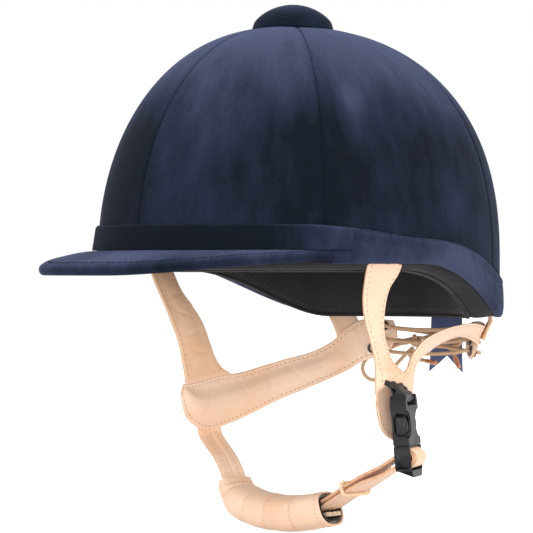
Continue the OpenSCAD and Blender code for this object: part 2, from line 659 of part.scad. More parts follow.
// Edges of the front straps from the hidden tongue down to the cross seam, front edge first
strap_rows_left = fit_rows([[-41, 27, -18, 27, 0, 0], [-42, 12, -18, 12, 0, 0], [-42, 0, -19, 0, 0, 0],
    [-41, -10, -18, -7, 0, 0.6], [-40, -20, -21, -15, 0, 1], [-36, -32, -21, -31, 0, 1],
    [-30, -44, -18, -43, 0, 1], [-25, -57, -11, -55, 0, 0.8], [-24, -67, -3, -61, 0, 0]]);
strap_rows_right = fit_rows([[-40, 27, -17, 27, 0, 0], [-39, 12, -17, 12, 0, 0], [-38, 0, -18, 0, 0, 0],
    [-36, -12, -16, -16, 0, 0.6], [-32, -23, -9, -26, 0, 1], [-27, -36, -2, -36, 0, 1],
    [-22, -49, 4, -50, 0, 1], [-19, -63, 9, -59, 0, 0.8], [-17, -71, 11, -66, 0, 0]]);
strap_across = [0, 0.18, 0.5, 0.82, 1];

module front_strap(s, rows) color(leather) difference() {
    leather_piece(s, rows, strap_across, 0.8, leather_t);
    rivet_holes([s > 0 ? rivet_a : 360 - rivet_a, rivet_z], 4);
}
module front_strap_left() front_strap(1, strap_rows_left);
module front_strap_right() front_strap(-1, strap_rows_right);

// Upper and lower edges of the jaw pieces from the lobe to the laced end
jaw_rows_left = fit_rows([[-23, -70, -24, -79, 0, 0], [-16, -66, -20, -91, 0, 1], [-9, -64, -12, -97, 0, 1],
    [-3, -61.5, -2, -99, 0, 1], [1, -58, 4, -92, 0, 1], [3, -54, 5, -72, 0, 1],
    [6, -49.5, 9, -60, 2, 1], [14, -43.5, 19, -54, 6, 1], [30, -38.5, 35, -51, 12, 1],
    [48, -36, 52, -47, 15, 1], [66, -35.5, 70, -43.5, 11, 0.9], [82, -37, 86, -46, 5, 0.4],
    [94, -37, 97, -50, 0, 0], [103, -36, 104, -57.5, 0, 0], [109, -35.5, 109, -55, 0, 0],
    [114, -36, 113, -46, 0, 0]]);
jaw_rows_right = fit_rows([[-19, -72, -21, -79, 0, 0], [-12, -71.5, -18, -90, 0, 1],
    [-5, -70.5, -10, -97, 0, 1], [3, -69, 0, -100, 0, 1], [12, -67.5, 17, -97, 0, 1],
    [26, -66.5, 35, -91, 0, 1], [42, -63, 52, -84, 0, 1], [58, -59, 68, -78, 0, 1],
    [74, -55, 82, -72, 0, 0.8], [86, -49, 92, -66.5, 0, 0.4], [95, -41, 99, -61, 0, 0],
    [103, -36, 105, -58, 0, 0], [109, -35.5, 109, -55, 0, 0], [114, -36, 113, -46, 0, 0]]);
jaw_across = [0, 0.12, 0.28, 0.5, 0.72, 0.88, 1];
foam_across = [0.22, 0.36, 0.5, 0.64, 0.78];
foam_side = 0.6;

// Seam gap between the strap's end and the jaw piece
module jaw_piece(s, rows) color(leather) difference() {
    leather_piece(s, rows, jaw_across, jaw_pad, leather_t);
    jaw_core(s, rows, 0);
    for (e = eyelet_spots) at_normal(side_pt(s, e[0], e[1], 0), side_normal(s, e[0], e[1]))
        cylinder(d = eyelet_bore + 2 * eyelet_wall + 0.4, h = 16, center = true, $fn = 32);
}
// Foam inside the jaw piece, shrunk by g all round
module jaw_core(s, rows, g) {
    ends = g > 0 ? 1 : 0;
    all_rows = [for (r = rows) if (r[5] > 0.3) r];
    picked = [for (i = [ends:len(all_rows) - 1 - ends]) all_rows[i]];
    slab([for (r = picked) [for (u = foam_across) leather_pt(s, r, mix(0.5, u, 1 - g / 3), -foam_side - g)]],
        [for (r = picked) [for (u = foam_across)
            let (f = ease((min(u, 1 - u) - jaw_margin) / 0.3))
            leather_pt(s, r, mix(0.5, u, 1 - g / 3), -foam_side - 0.7 + g - (jaw_pad * r[5] - 0.2) * f)]]);
}
module jaw_piece_left() jaw_piece(1, jaw_rows_left);
module jaw_piece_right() jaw_piece(-1, jaw_rows_right);
module jaw_foam_left() color("khaki") jaw_core(1, jaw_rows_left, 0.2);
module jaw_foam_right() color("khaki") jaw_core(-1, jaw_rows_right, 0.2);

// Leather tab from the shell to the outer face of the jaw piece
module nape_hanger(s) color(leather) {
    y0 = fit_y(90);
    y1 = fit_y(102);
    rows = [for (z = [-5, -13, -21, -28, -32, -33.5, -35, -45]) fit_z(z)];
    across = [0, 0.33, 0.67, 1];
    off = function(y, z) (leather_t + 0.3) * ease((rim_at_y(y) - z) / 3);
    difference() {
        slab([for (z = rows) [for (u = across) let (y = mix(y0, y1, u))
                side_pt(s, y, z, 0) + side_normal(s, y, z) * off(y, z)]],
            [for (z = rows) [for (u = across) let (y = mix(y0, y1, u))
                side_pt(s, y, z, 0) + side_normal(s, y, z) * (off(y, z) - leather_t)]]);
        rivet_holes([s > 0 ? hanger_a : 360 - hanger_a, hanger_rivet_z], 4);
    }
}
module nape_hanger_left() nape_hanger(1);
module nape_hanger_right() nape_hanger(-1);

// Chin strap and cup

buckle_turn = -65;
buckle_flare = 5;
buckle_pos = fit([92.1, -13.3, -99.4]);
module at_buckle() {
    translate(buckle_pos) rotate([buckle_flare, 0, buckle_turn]) children();
}
// Point in the buckle's own frame: x along its width, y outwards, z up its axis
function in_buckle(p) = let (c = cos(buckle_flare), s = sin(buckle_flare),
    q = [p[0], p[1] * c - p[2] * s, p[1] * s + p[2] * c], ct = cos(buckle_turn), st = sin(buckle_turn))
    buckle_pos + [q[0] * ct - q[1] * st, q[0] * st + q[1] * ct, q[2]];
buckle_across = [-cos(buckle_turn), -sin(buckle_turn), 0];
function strap_across_at(p) = mix([0.12, 1, 0], buckle_across, ease((p[0] / fit_x(1) - 58) / 24));

strap_pts = fit_all([[-81.6, 4, -88], [-81.6, 4, -97], [-80.8, 4, -102], [-77, 4.5, -107.5],
    [-72, 5, -112.5], [-67, 5, -118], [-63, 4.8, -123.5], [-60, 4.5, -129], [-55.5, 4, -135],
    [-45, 2.5, -140.5], [-24, 0, -143.5], [0, -3.5, -143.5], [11.6, -5.4, -142.1]]);
bar_y = 1.9;
bar_z = -6.8;
bar_d = 3.6;
wrap_r = bar_d / 2 + strap_t / 2 + 0.25;
function wrap_pt(t) = in_buckle([0, bar_y + wrap_r * cos(t), bar_z + wrap_r * sin(t)]);
loop_pts = concat(fit_all([[12, -5.5, -142], [30, -8, -137.5], [40, -9.3, -132.6], [51, -10.8, -127.3],
    [62, -12, -122.2], [73, -13, -117.6], [82, -14.3, -114]]), [in_buckle([0, -5, -11.6])],
    [for (t = [-75:36:105]) wrap_pt(t)],
    [in_buckle([0, -5, -5.8])], fit_all([[82, -14.2, -108.6], [73, -13, -113], [62, -12, -118.7],
    [51, -10.8, -124.2], [40, -9.3, -129.8], [30, -8, -134.4], [14, -5.5, -138.4]]));
module chin_strap() color(leather) {
    P = smooth_path(strap_pts, 2);
    strap(P, [for (p = P) strap_across_at(p)], strap_w, strap_t);
}
module chin_strap_loop() color(leather) {
    P = loop_pts;
    strap(P, [for (p = P) strap_across_at(p)], strap_w, strap_t);
}

// Centre line of the cup and its size along it, as shares of the full section
cup_pts = fit_all([[-60.5, 4.6, -128], [-57.5, 4.2, -134], [-50, 3, -139.3], [-38, 1.5, -142.3], [-24, 0, -143.6],
    [-10, -2, -143.4], [4, -4, -142], [17, -6, -139.8], [29.5, -7.6, -137.2]]);
cup_share_w = [0.84, 0.9, 0.97, 1, 1, 1, 1, 1, 1];
cup_share_h = [0.5, 0.74, 0.92, 0.99, 1, 1, 1, 0.99, 0.98];
cup_steps = 2;
cup_path = smooth_path(cup_pts, cup_steps);
cup_w = between(cup_share_w);
cup_h = between(cup_share_h);
cup_n = 14;
function between(v) = concat([for (i = [0:len(v) - 2], s = [0:cup_steps - 1])
    mix(v[i], v[i + 1], s / cup_steps)], [v[len(v) - 1]]);
function cup_ring(i, off, grow) = let (g = tangent(cup_path, i), a = unit([0.12, 1, 0] - ([0.12, 1, 0] * g) * g),
    n = cross(g, a), d = (i % 4 == 2 ? cup_channel : 0) * grow)
    [for (j = [0:cup_n - 1]) let (t = (j + 0.5) * 360 / cup_n, w = cup_hw * cup_w[i] + off - d, h = cup_hh * cup_h[i] + off - d)
        cup_path[i] + a * w * sign(cos(t)) * pow(abs(cos(t)), 0.78) + n * h * sign(sin(t)) * pow(abs(sin(t)), 0.78)];
module cup_layer(o, i, grow_o, grow_i, first, last) {
    steps = [first:len(cup_path) - 1 - last];
    slab([for (k = steps) cup_ring(k, o, grow_o)], [for (k = steps) cup_ring(k, i, grow_i)], wrap = true);
}
module cup_leather() color(leather) cup_layer(0, -cup_leather_t, 1, 1, 0, 0);
module cup_padding() color("gray")
    cup_layer(-cup_leather_t - 0.1, -cup_leather_t - 0.1 - cup_pad_t, 1, 0, 3, 1);
module cup_lining() color(black_cloth) {
    o = -cup_leather_t - 0.2 - cup_pad_t;
    cup_layer(o, o - cup_lining_t, 0, 0, 3, 0);
}
module cup_hook_tab() color([0.85, 0.75, 0.6]) {
    drop = cup_hh - cup_leather_t - cup_pad_t - cup_lining_t - 1.7;
    translate(fit([14, -12, -139.8]) - [0, 0, drop]) rotate([0, -11, 0]) cube([17, 11, 1]);
}

keeper_pos = fit([51, -10.8, -125.75]);
keeper_dir = unit(fit([62, -12, -120.35]) - fit([40, -9.3, -131.2]));
module keeper_loop() color([0.95, 0.8, 0.62]) {
    a = unit(strap_across_at(keeper_pos) - (strap_across_at(keeper_pos) * keeper_dir) * keeper_dir);
    n = cross(keeper_dir, a);
    gap = 0.5;
    hw1 = strap_w / 2 + gap;
    hh1 = strap_t / 2 + 1.42 + gap;
    N = 20;
    at = function(t, r, k) keeper_pos + a * (hw1 + r) * sign(cos(t)) * pow(abs(cos(t)), 0.2)
        + n * (hh1 + r) * sign(sin(t)) * pow(abs(sin(t)), 0.2) + keeper_dir * k;
    sweep([for (i = [0:N - 1]) let (t = (i + 0.5) * 360 / N)
        [at(t, 0, -keeper_w / 2), at(t, 0, keeper_w / 2), at(t, keeper_t * 0.8, keeper_w / 2),
        at(t, keeper_t, 0), at(t, keeper_t * 0.8, -keeper_w / 2)]], true);
}

// Buckle

module buckle_webbing() color("black") {
    b = [0, 0, socket_h - 1.3];
    r = 2.85;
    top = fit([84, -14.4, -64]);
    low = in_buckle([0, -1.2, 30.6]);
    P = concat([top + [0, 0, 4]], [for (t = [0:0.25:1]) mix(top, low, t)],
        [for (t = [60:-40:-180]) in_buckle([0, r * cos(t), b[2] + r * sin(t)])],
        [in_buckle([0, -3.6, 29])], fit_all([[84.5, -15.1, -68.3], [83.5, -14.8, -67], [82.8, -14.6, -65.8],
        [82.3, -14.4, -64.6], [82.1, -14.4, -63.6]]), [top + [-1.9, 0, 4]]);
    turned = function(p) max(0, min(1, (top[2] - p[2]) / (top[2] - low[2])));
    strap(P, [for (p = P) mix([0, 1, 0], buckle_across, turned(p))], web_w, web_t, true);
}

// Socket outline in the plane of its width, as a half profile of [x, z]
module socket_outline() {
    w = buckle_w / 2;
    half = [[w - 0.6, 0], [w, 1], [w, 4], [w - 0.7, 8], [w - 1, 12], [w - 0.7, 16], [w, 20], [w, 23],
        [w - 1.2, socket_h - 1], [w - 2.4, socket_h]];
    polygon(concat(half, [for (i = [len(half) - 1:-1:0]) [-half[i][0], half[i][1]]]));
}
cavity_hw = buckle_w / 2 - mouth_wall;
module buckle_socket() color(plastic) at_buckle() difference() {
    translate([0, buckle_t / 2, 0]) rotate([90, 0, 0]) linear_extrude(buckle_t) socket_outline();
    // Cavity for the prongs
    translate([-cavity_hw, -prong_t / 2 - prong_gap, -1])
        cube([2 * cavity_hw, prong_t + 2 * prong_gap, 20]);
    // Side windows with round ends
    for (z = [8.6, 14.4]) translate([0, 0, z]) rotate([0, 90, 0])
        cylinder(d = 7, h = buckle_w + 2, center = true, $fn = 32);
    translate([-buckle_w / 2 - 1, -3.5, 8.6]) cube([buckle_w + 2, 7, 5.8]);
    // Slot for the webbing under the top bar
    translate([-web_w / 2 - 0.6, -buckle_t, socket_h - 2.6 - 3.4])
        cube([web_w + 1.2, 2 * buckle_t, 3.4]);
    // The bar is thinner than the body
    for (s = [-1, 1]) translate([-web_w / 2 - 0.6, s > 0 ? 1.3 : -buckle_t, socket_h - 2.7])
        cube([web_w + 1.2, buckle_t - 1.3, 4]);
}

module buckle_plug() color(plastic) at_buckle() {
    w = buckle_w / 2;
    win_w = strap_w / 2 + 1.1;
    top = -0.2;
    difference() {
        translate([0, buckle_t / 2, 0]) rotate([90, 0, 0]) linear_extrude(buckle_t)
            polygon([[-w + 0.6, top], [w - 0.6, top], [w, top - 1], [w, -plug_h + 4.5],
                [w - 2.5, -plug_h + 0.6], [w - 3.5, -plug_h], [-w + 3.5, -plug_h],
                [-w + 2.5, -plug_h + 0.6], [-w, -plug_h + 4.5], [-w, top - 1]]);
        translate([-win_w, -buckle_t, -13.6]) cube([2 * win_w, 2 * buckle_t, 13]);
    }
    // Bar that the strap goes round
    translate([0, bar_y, bar_z]) rotate([0, 90, 0])
        cylinder(d = bar_d, h = 2 * win_w + 1, center = true, $fn = 32);
    // Guide blade between the prongs
    translate([-2, -prong_t / 2, top - 0.4]) cube([4, prong_t, 12]);
}

hinge_x = 7.1;
hinge_z = 0.6;
// Prong outline in the plane of the buckle's width, for the side where x is positive
module prong(s) at_buckle() {
    x1 = cavity_hw - prong_gap;
    xs = hinge_x + prong_w / 2;
    translate([0, prong_t / 2, 0]) rotate([90, 0, 0]) linear_extrude(prong_t)
        polygon([for (p = [[hinge_x - prong_w / 2, 0], [xs, 0], [xs, 4], [x1 - 0.2, 6],
            [x1, 9], [x1, 13], [x1 - 0.5, 15.5], [x1 - 2, prong_l], [x1 - 3.6, prong_l],
            [x1 - 4.2, 13.5], [hinge_x - prong_w / 2, 8]]) [s * p[0], p[1]]]);
}
module prong_front() color(plastic) prong(1);
module prong_rear() color(plastic) prong(-1);

// Lace, eyelets and ribbon

eyelet_spots = [for (e = [[110.2, -39.8], [107.6, -46.8], [104, -53]]) [fit_y(e[0]), fit_z(e[1])]];
eyelet_wall = 0.55;
module eyelets() color("black") {
    barrel = leather_t + 0.5;
    b = eyelet_bore / 2;
    f = eyelet_d / 2;
    for (s = [-1, 1], e = eyelet_spots)
        at_normal(side_pt(s, e[0], e[1], 0), side_normal(s, e[0], e[1]))
            rotate_extrude($fn = 32) polygon([[b, -barrel - 0.6], [f, -barrel - 0.6], [f, -barrel],
                [b + eyelet_wall, -barrel], [b + eyelet_wall, 0.3], [f, 0.3], [f, 0.9], [b, 0.9]]);
}
// Point on an eyelet's axis, h outwards from the leather's outer face
function eye(s, k, h) = let (e = eyelet_spots[k]) side_pt(s, e[0], e[1], 0)
    + h * side_normal(s, e[0], e[1]);
knot_pos = fit([-21, 121.6, -48]);
knot_r = knot_d / 2;
function off_knot(v) = knot_pos + unit(v) * (knot_r + 1);
// Through an eyelet, from outside to inside where sgn is 1
function through(s, k, sgn) = let (P = [eye(s, k, 3.6) + [-s * 6.5, 4, 0], eye(s, k, 2.8),
    eye(s, k, -1), eye(s, k, -4.8), eye(s, k, -5.8) - [s * 7, 0, 1.6]])
    sgn > 0 ? P : [for (i = [4:-1:0]) P[i]];
lace_pts = concat([off_knot([-1, -0.25, -0.3]), fit([-29, 116.6, -50])],
    through(-1, 2, 1), through(1, 2, -1), through(-1, 1, 1), through(1, 1, -1),
    through(-1, 0, 1), through(1, 0, -1), fit_all([[2, 117.4, -43.4], [-8, 118, -46.2]]),
    [off_knot([1, -0.2, 0.35])]);
module lace() color(lace_tan) cord(smooth_path(lace_pts, 2), lace_d);
module lace_knot() color(lace_tan) translate(knot_pos) sphere(d = knot_d, $fn = 24);

loop_left_pts = concat([off_knot([-1, 0.5, 0.25])], fit_all([[-30, 121.4, -48.2], [-38.5, 120.2, -51.5],
    [-47.4, 117.5, -54.8], [-54.8, 115, -58.9], [-58.1, 113.5, -65.1], [-54.7, 113.5, -71.3],
    [-48.9, 115, -73], [-41.5, 117, -69.1], [-33, 119, -61.5], [-27, 120.6, -55.5]]),
    [off_knot([-0.6, 0.2, -0.9])]);
loop_right_pts = concat([off_knot([0.85, 0.6, 0.4])], fit_all([[-8.4, 125.2, -45], [3.1, 125.4, -44.2],
    [12.7, 123.8, -45.2], [14.9, 122.4, -48.1], [8.8, 122.6, -50.7], [-2.5, 123.6, -51.4],
    [-11, 123.6, -51]]), [off_knot([0.9, 0.35, -0.5])]);
tail_left_pts = concat([off_knot([0, -0.35, -1])], fit_all([[-22.4, 117.4, -56.2], [-18.5, 116.6, -59],
    [-12.4, 115.6, -59.4], [-6.3, 115, -60.1]]));
tail_right_pts = concat([off_knot([0.6, 1, -0.05])], fit_all([[-11, 128.6, -48.6], [-2, 128.6, -50.6],
    [4, 127, -54], [8, 125, -58]]));
module lace_loop_left() color(lace_tan) cord(smooth_path(loop_left_pts, 2), lace_d);
module lace_loop_right() color(lace_tan) cord(smooth_path(loop_right_pts, 2), lace_d);
module lace_tail_left() color(lace_tan) cord(smooth_path(tail_left_pts, 2), lace_d);
module lace_tail_right() color(lace_tan) cord(smooth_path(tail_right_pts, 2), lace_d);
module aglets() color([0.7, 0.38, 0.2]) for (P = [tail_left_pts, tail_right_pts])
    let (Q = smooth_path(P, 2)) at_normal(P[len(P) - 1], tangent(Q, len(Q) - 1))
        cylinder(d = lace_d + 0.4, h = aglet_l, $fn = 20);

// Flat bow on the back of the band, following its curve
bow_z = -rim_drop_mid();
function rim_drop_mid() = nape_drop - band_h / 2;
function bow_pt(a, z, d) = rim_pt(180 + a, band_t + 0.2 + d, z);
module ribbon_bow() color(ribbon_blue) for (s = [-1, 1]) {
    angles = [for (i = [0:6]) s * mix(2.6, bow_a, i / 6)];
    rows = [-1, 0, 1];
    half_h = function(i) bow_h / 2 * mix(0.62, 1, ease(i / 3));
    puff = function(i) 1.2 + 2 * sin(180 * i / 6);
    slab([for (i = [0:6]) [for (r = rows) bow_pt(angles[i], bow_z + r * half_h(i), 0.2 + puff(i) * (1 - 0.3 * abs(r)))]],
        [for (i = [0:6]) [for (r = rows) bow_pt(angles[i], bow_z + r * half_h(i), 0.2)]]);
}
module ribbon_knot() color(ribbon_blue) {
    angles = [-2.3, -0.8, 0.8, 2.3];
    rows = [-1, -0.6, 0.6, 1];
    slab([for (a = angles) [for (r = rows) bow_pt(a, bow_z + r * bow_h * 0.33, 3.2 - 0.9 * abs(r) - 0.2 * abs(a))]],
        [for (a = angles) [for (r = rows) bow_pt(a, bow_z + r * bow_h * 0.33, 0.2)]]);
}
tail_x = -4;
tail_y = hl + band_t + 0.35;
module ribbon_tail() color(ribbon_blue) {
    z0 = bow_z - bow_h / 2 - 0.3;
    w = ribbon_w / 2;
    notch = 10;
    translate([tail_x, tail_y, 0]) rotate([90, 0, 0]) mirror([0, 0, 1]) linear_extrude(ribbon_t)
        polygon([[-w + 1.5, z0], [w - 1.5, z0], [w, tail_z], [0, tail_z + notch], [-w, tail_z]]);
}

shell();
foam_liner();
crown_lining();
crown_pad();
headband();
rim_felt();
velvet_panel_1();
velvet_panel_2();
velvet_panel_3();
velvet_panel_4();
velvet_panel_5();
velvet_panel_6();
band_front();
band_back();
peak_board();
peak_top_cover();
peak_under_cover();
button_cover();
button_core();
button_washer();
harness_rivets();
peak_rivets();
front_strap_left();
front_strap_right();
jaw_piece_left();
jaw_piece_right();
jaw_foam_left();
jaw_foam_right();
nape_hanger_left();
nape_hanger_right();
chin_strap();
chin_strap_loop();
cup_leather();
cup_padding();
cup_lining();
cup_hook_tab();
keeper_loop();
buckle_webbing();
buckle_socket();
buckle_plug();
prong_front();
prong_rear();
eyelets();
lace();
lace_knot();
lace_loop_left();
lace_loop_right();
lace_tail_left();
lace_tail_right();
aglets();
ribbon_bow();
ribbon_knot();
ribbon_tail();
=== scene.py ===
"""Velvet riding hat with a laced leather harness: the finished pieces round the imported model.

Shapes are worked out in millimetres and put into meshes in metres.
"""

import bmesh
import bpy
import numpy as np
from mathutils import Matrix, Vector


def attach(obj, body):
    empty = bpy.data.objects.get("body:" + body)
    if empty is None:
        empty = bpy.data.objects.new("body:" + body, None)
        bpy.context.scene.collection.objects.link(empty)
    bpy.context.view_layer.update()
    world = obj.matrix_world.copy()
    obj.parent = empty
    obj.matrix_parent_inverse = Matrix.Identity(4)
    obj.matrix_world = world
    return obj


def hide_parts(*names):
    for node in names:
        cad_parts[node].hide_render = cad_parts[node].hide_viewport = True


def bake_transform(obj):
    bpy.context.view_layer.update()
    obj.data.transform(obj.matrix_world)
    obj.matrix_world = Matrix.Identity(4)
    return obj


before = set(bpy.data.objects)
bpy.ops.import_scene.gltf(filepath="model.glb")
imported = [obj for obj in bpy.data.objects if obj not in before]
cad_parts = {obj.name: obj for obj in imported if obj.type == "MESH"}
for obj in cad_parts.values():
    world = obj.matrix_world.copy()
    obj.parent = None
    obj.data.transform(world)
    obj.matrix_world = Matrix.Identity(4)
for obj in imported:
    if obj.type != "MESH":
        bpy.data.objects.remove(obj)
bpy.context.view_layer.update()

MM = 0.001

# Sizes of the hat, as in its source

HALF_L, HALF_W, CROWN_H = 128.0, 101.0, 134.0
NAPE_DROP, CROWN_FWD = 31.0, 8.0
COVER_T, LAYER_GAP, SHELL_T = 1.1, 0.15, 2.8
LINER_T, LINER_TOP_T = 13.0, 16.0
SHELL_I = -COVER_T - LAYER_GAP - SHELL_T
LINER_I = SHELL_I - LAYER_GAP - LINER_T
LINER_TOP = SHELL_I - LAYER_GAP - LINER_TOP_T
HEADBAND_O = LINER_I - LAYER_GAP
TONGUE_O = SHELL_I - 0.45
BAND_H, BAND_DIP, BAND_T = 20.0, 7.5, 1.9
SEAMS = (0.0, 57.0, 121.0, 180.0, 239.0, 303.0, 360.0)
PEAK_A, PEAK_REACH, PEAK_HW, PEAK_TURN = 62.0, 51.0, 95.0, 69.9
PEAK_ROOT_Z, PEAK_TIP_Z, CLOTH_T, BOARD_T = 6.4, -2.0, 0.9, 2.6
BAND_SPLIT = PEAK_A + 1.9
FELT_FRONT, FELT_BACK = 5.0, 1.5


# Camera

def look_from(azimuth, distance, aside, below, lens):
    """Camera level with the hat, turned azimuth degrees round it, and slid sideways and down."""
    a = np.radians(azimuth)
    back = np.array([np.sin(a), -np.cos(a), 0.0])
    side = np.array([np.cos(a), np.sin(a), 0.0])
    data = bpy.data.cameras.new("photo_camera")
    cam = bpy.data.objects.new("photo_camera", data)
    bpy.context.scene.collection.objects.link(cam)
    cam.location = back * distance - side * aside - np.array([0, 0, below])
    cam.rotation_mode = "QUATERNION"
    cam.rotation_quaternion = Vector(-back).to_track_quat("-Z", "Y")
    data.lens = lens
    data.clip_start, data.clip_end = 0.05, 50
    bpy.context.scene.camera = cam


look_from(azimuth=45, distance=1.4, aside=0.02063, below=0.00258, lens=165.0)


# Vector helpers

def mix(a, b, t):
    """The value the share t of the way from a to b."""
    return a + (b - a) * t


def ease(t):
    """Smooth step: 3 t squared less 2 t cubed, held at 0 and 1 outside."""
    t = np.clip(t, 0, 1)
    return t * t * (3 - 2 * t)


def bump(x, width):
    """Bell curve: e to the power of minus x over width, squared."""
    return np.exp(-(np.asarray(x) / width) ** 2)


def unit(v):
    """Vectors divided by their lengths."""
    return v / np.maximum(np.linalg.norm(v, axis=-1, keepdims=True), 1e-12)


def dot(a, b):
    """Sum of the products of two sets of vectors, kept as a column."""
    return (a * b).sum(-1, keepdims=True)


def together(*values):
    """The values as arrays of numbers of one shape."""
    return np.broadcast_arrays(*(np.asarray(v, float) for v in values))


def travelled(P):
    """Distance along a path at each of its points."""
    return np.concatenate([[0.0], np.cumsum(np.linalg.norm(np.diff(P, axis=0), axis=1))])


def sample(A, s, t):
    """Values A, which are given at the distances s, at the distances t."""
    return np.stack([np.interp(t, s, A[:, k]) for k in range(A.shape[1])], 1)


def evenly(P, step):
    """The path at even steps of its length."""
    s = travelled(P)
    return sample(P, s, np.linspace(0, s[-1], max(2, int(round(s[-1] / step)) + 1)))


def smooth_path(P, k):
    """Hermite curve through the points, k steps between neighbours.

    The heading at a point halves the turn there.
    """
    P = np.asarray(P, float)
    d = unit(np.diff(P, axis=0))
    head = unit(np.vstack([d[:1], d[1:] + d[:-1], d[-1:]]))
    l = np.linalg.norm(np.diff(P, axis=0), axis=1)[:, None, None]
    t = (np.arange(k) / k)[None, :, None]
    a, b = P[:-1, None], P[1:, None]
    m, q = head[:-1, None] * l, head[1:, None] * l
    Q = a * (1 + t * t * (2 * t - 3)) + m * t * (1 - t) ** 2 + b * t * t * (3 - 2 * t) - q * t * t * (1 - t)
    return np.vstack([Q.reshape(-1, 3), P[-1:]])


def smooth_rows(R, n):
    """Hermite curve through rows of numbers, whose slopes are the mean of those beside them."""
    R = np.asarray(R, float)
    mid = (R[:, :2] + R[:, 2:4]) / 2
    x = travelled(mid)
    slope = np.diff(R, axis=0) / np.diff(x)[:, None]
    m = np.vstack([slope[:1], (slope[1:] + slope[:-1]) / 2, slope[-1:]])
    t = np.linspace(0, x[-1], n)
    i = np.clip(np.searchsorted(x, t, side="right") - 1, 0, len(x) - 2)
    h = (x[i + 1] - x[i])[:, None]
    s = ((t - x[i])[:, None]) / h
    return (R[i] * (1 + s * s * (2 * s - 3)) + m[i] * h * s * (1 - s) ** 2
            + R[i + 1] * s * s * (3 - 2 * s) - m[i + 1] * h * s * s * (1 - s))


def carried_frames(P):
    """Tangent, normal and side along a path, the normal carried on without twist from near the upright."""
    T = unit(np.gradient(P, axis=0))
    N = np.zeros_like(P)
    steep = abs(T[0, 2]) > 0.8
    v = np.array([1.0, 0.0, 0.0] if steep else [0.0, 0.0, 1.0])
    for i, t in enumerate(T):
        v = v - (v @ t) * t
        v = v / np.linalg.norm(v)
        N[i] = v
    return T, N, np.cross(T, N)


# Solids

def solid(name, sections, looks, ring=False, body="hat", stands_for=(), slot=None, faces_of=None,
          cap_look=0, marks=None, fold=38):
    """Closed surface through closed sections set one after another, each of an even number of points.

    The first and last sections are filled with strips, or join each other where ring is set. The map's u runs
    round the section and its v along the piece, both in metres. faces_of gives each column its finish, marks
    are values at the points that a finish reads, and edges sharper than fold degrees stay sharp.
    """
    S = np.asarray(sections, float)
    S = S[None] if S.ndim == 3 else S
    k, n, m = S.shape[:3]
    rows = n if ring else n - 1
    i, j = (x.ravel() for x in np.meshgrid(np.arange(rows), np.arange(m), indexing="ij"))
    at = lambda di, dj: ((i + di) % n) * m + (j + dj) % m
    faces = np.stack([at(0, 0), at(0, 1), at(1, 1), at(1, 0)], 1)
    closed = lambda P: travelled(np.vstack([P, P[:1]]))
    run = closed(S[0].mean(1))
    # A bowl has the middles of its rings on one short line, so there the map follows the surface's own run
    own = closed(S[0, :, 0])
    run = own if own[rows] > run[rows] * 1.6 else run
    round_it = closed(S[0, n // 2])
    corners = ((0, 0), (0, 1), (1, 1), (1, 0))
    uv = np.stack([np.stack([round_it[j + dj], run[i + di]], 1) for di, dj in corners], 1)
    look = np.zeros(m, int) if faces_of is None else np.asarray(faces_of)
    index = look[j]
    if not ring:
        c = np.arange(m // 2 - 1)
        strip = np.stack([c, c + 1, m - 2 - c, m - 1 - c], 1)
        last = (n - 1) * m + strip[:, ::-1]
        faces = np.vstack([faces, strip[:, ::-1], last])
        end = np.stack([round_it[strip], np.zeros(strip.shape)], 2)
        uv = np.concatenate([uv, end[:, ::-1], end[:, ::-1]])
        index = np.concatenate([index, np.full(2 * len(strip), cap_look)])
    flat = S[0].reshape(-1, 3)
    a, b, c, d = (flat[faces[:, x]] for x in range(4))
    volume = (a * np.cross(b, c)).sum() + (a * np.cross(c, d)).sum()
    if volume < 0:
        faces, uv = faces[:, ::-1], uv[:, ::-1]
    faces = (faces[None] + (np.arange(k) * n * m)[:, None, None]).reshape(-1, 4)
    mesh = bpy.data.meshes.new(name)
    mesh.from_pydata(S.reshape(-1, 3) * MM, [], faces)
    layer = mesh.uv_layers.new(name="UVMap")
    layer.data.foreach_set("uv", np.tile(uv * MM, (k, 1, 1)).ravel())
    for look_made in (looks if isinstance(looks, (list, tuple)) else [looks]):
        mesh.materials.append(look_made)
    mesh.polygons.foreach_set("material_index", np.tile(index, k).astype(np.int32))
    for key, values in (marks or {}).items():
        layer = mesh.attributes.new(key, "FLOAT", "POINT")
        layer.data.foreach_set("value", np.asarray(values, np.float32).ravel())
    mesh.shade_smooth()
    mesh.set_sharp_from_angle(angle=np.radians(fold))
    mesh.update()
    return placed(name, mesh, body, stands_for)


def placed(name, mesh, body="hat", stands_for=()):
    """An object for the mesh that rides on its body."""
    made = bpy.data.objects.new(name, mesh)
    bpy.context.scene.collection.objects.link(made)
    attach(made, body)
    if stands_for:
        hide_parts(*stands_for)
    return made


def turns_of(sides, shift=0.0):
    """Angles of a ring's corners, in radians."""
    return (np.arange(sides) + shift) / sides * 2 * np.pi


def round_sections(P, N, B, along_n, along_b, sides):
    """Oval sections round a path: one radius by the cosine along N, and the other by the sine along B."""
    t = turns_of(sides)[None, :, None]
    return P[:, None] + along_n * np.cos(t) * N[:, None] + along_b * np.sin(t) * B[:, None]


def tube_sections(P, r, sides):
    """Round sections along a path, with a radius for each of its points."""
    r = np.asarray(r)[:, None, None]
    return round_sections(P, *carried_frames(P)[1:], r, r, sides)


def end_radii(P, r):
    """Radius along a path: r, which shrinks as a quarter circle over the last 0.9 of r at each end."""
    s = travelled(P)
    g = np.minimum(s, s[-1] - s)
    return r * np.sqrt(np.clip(1 - np.clip(1 - g / (r * 0.9), 0, 1) ** 2, 0.03, 1))


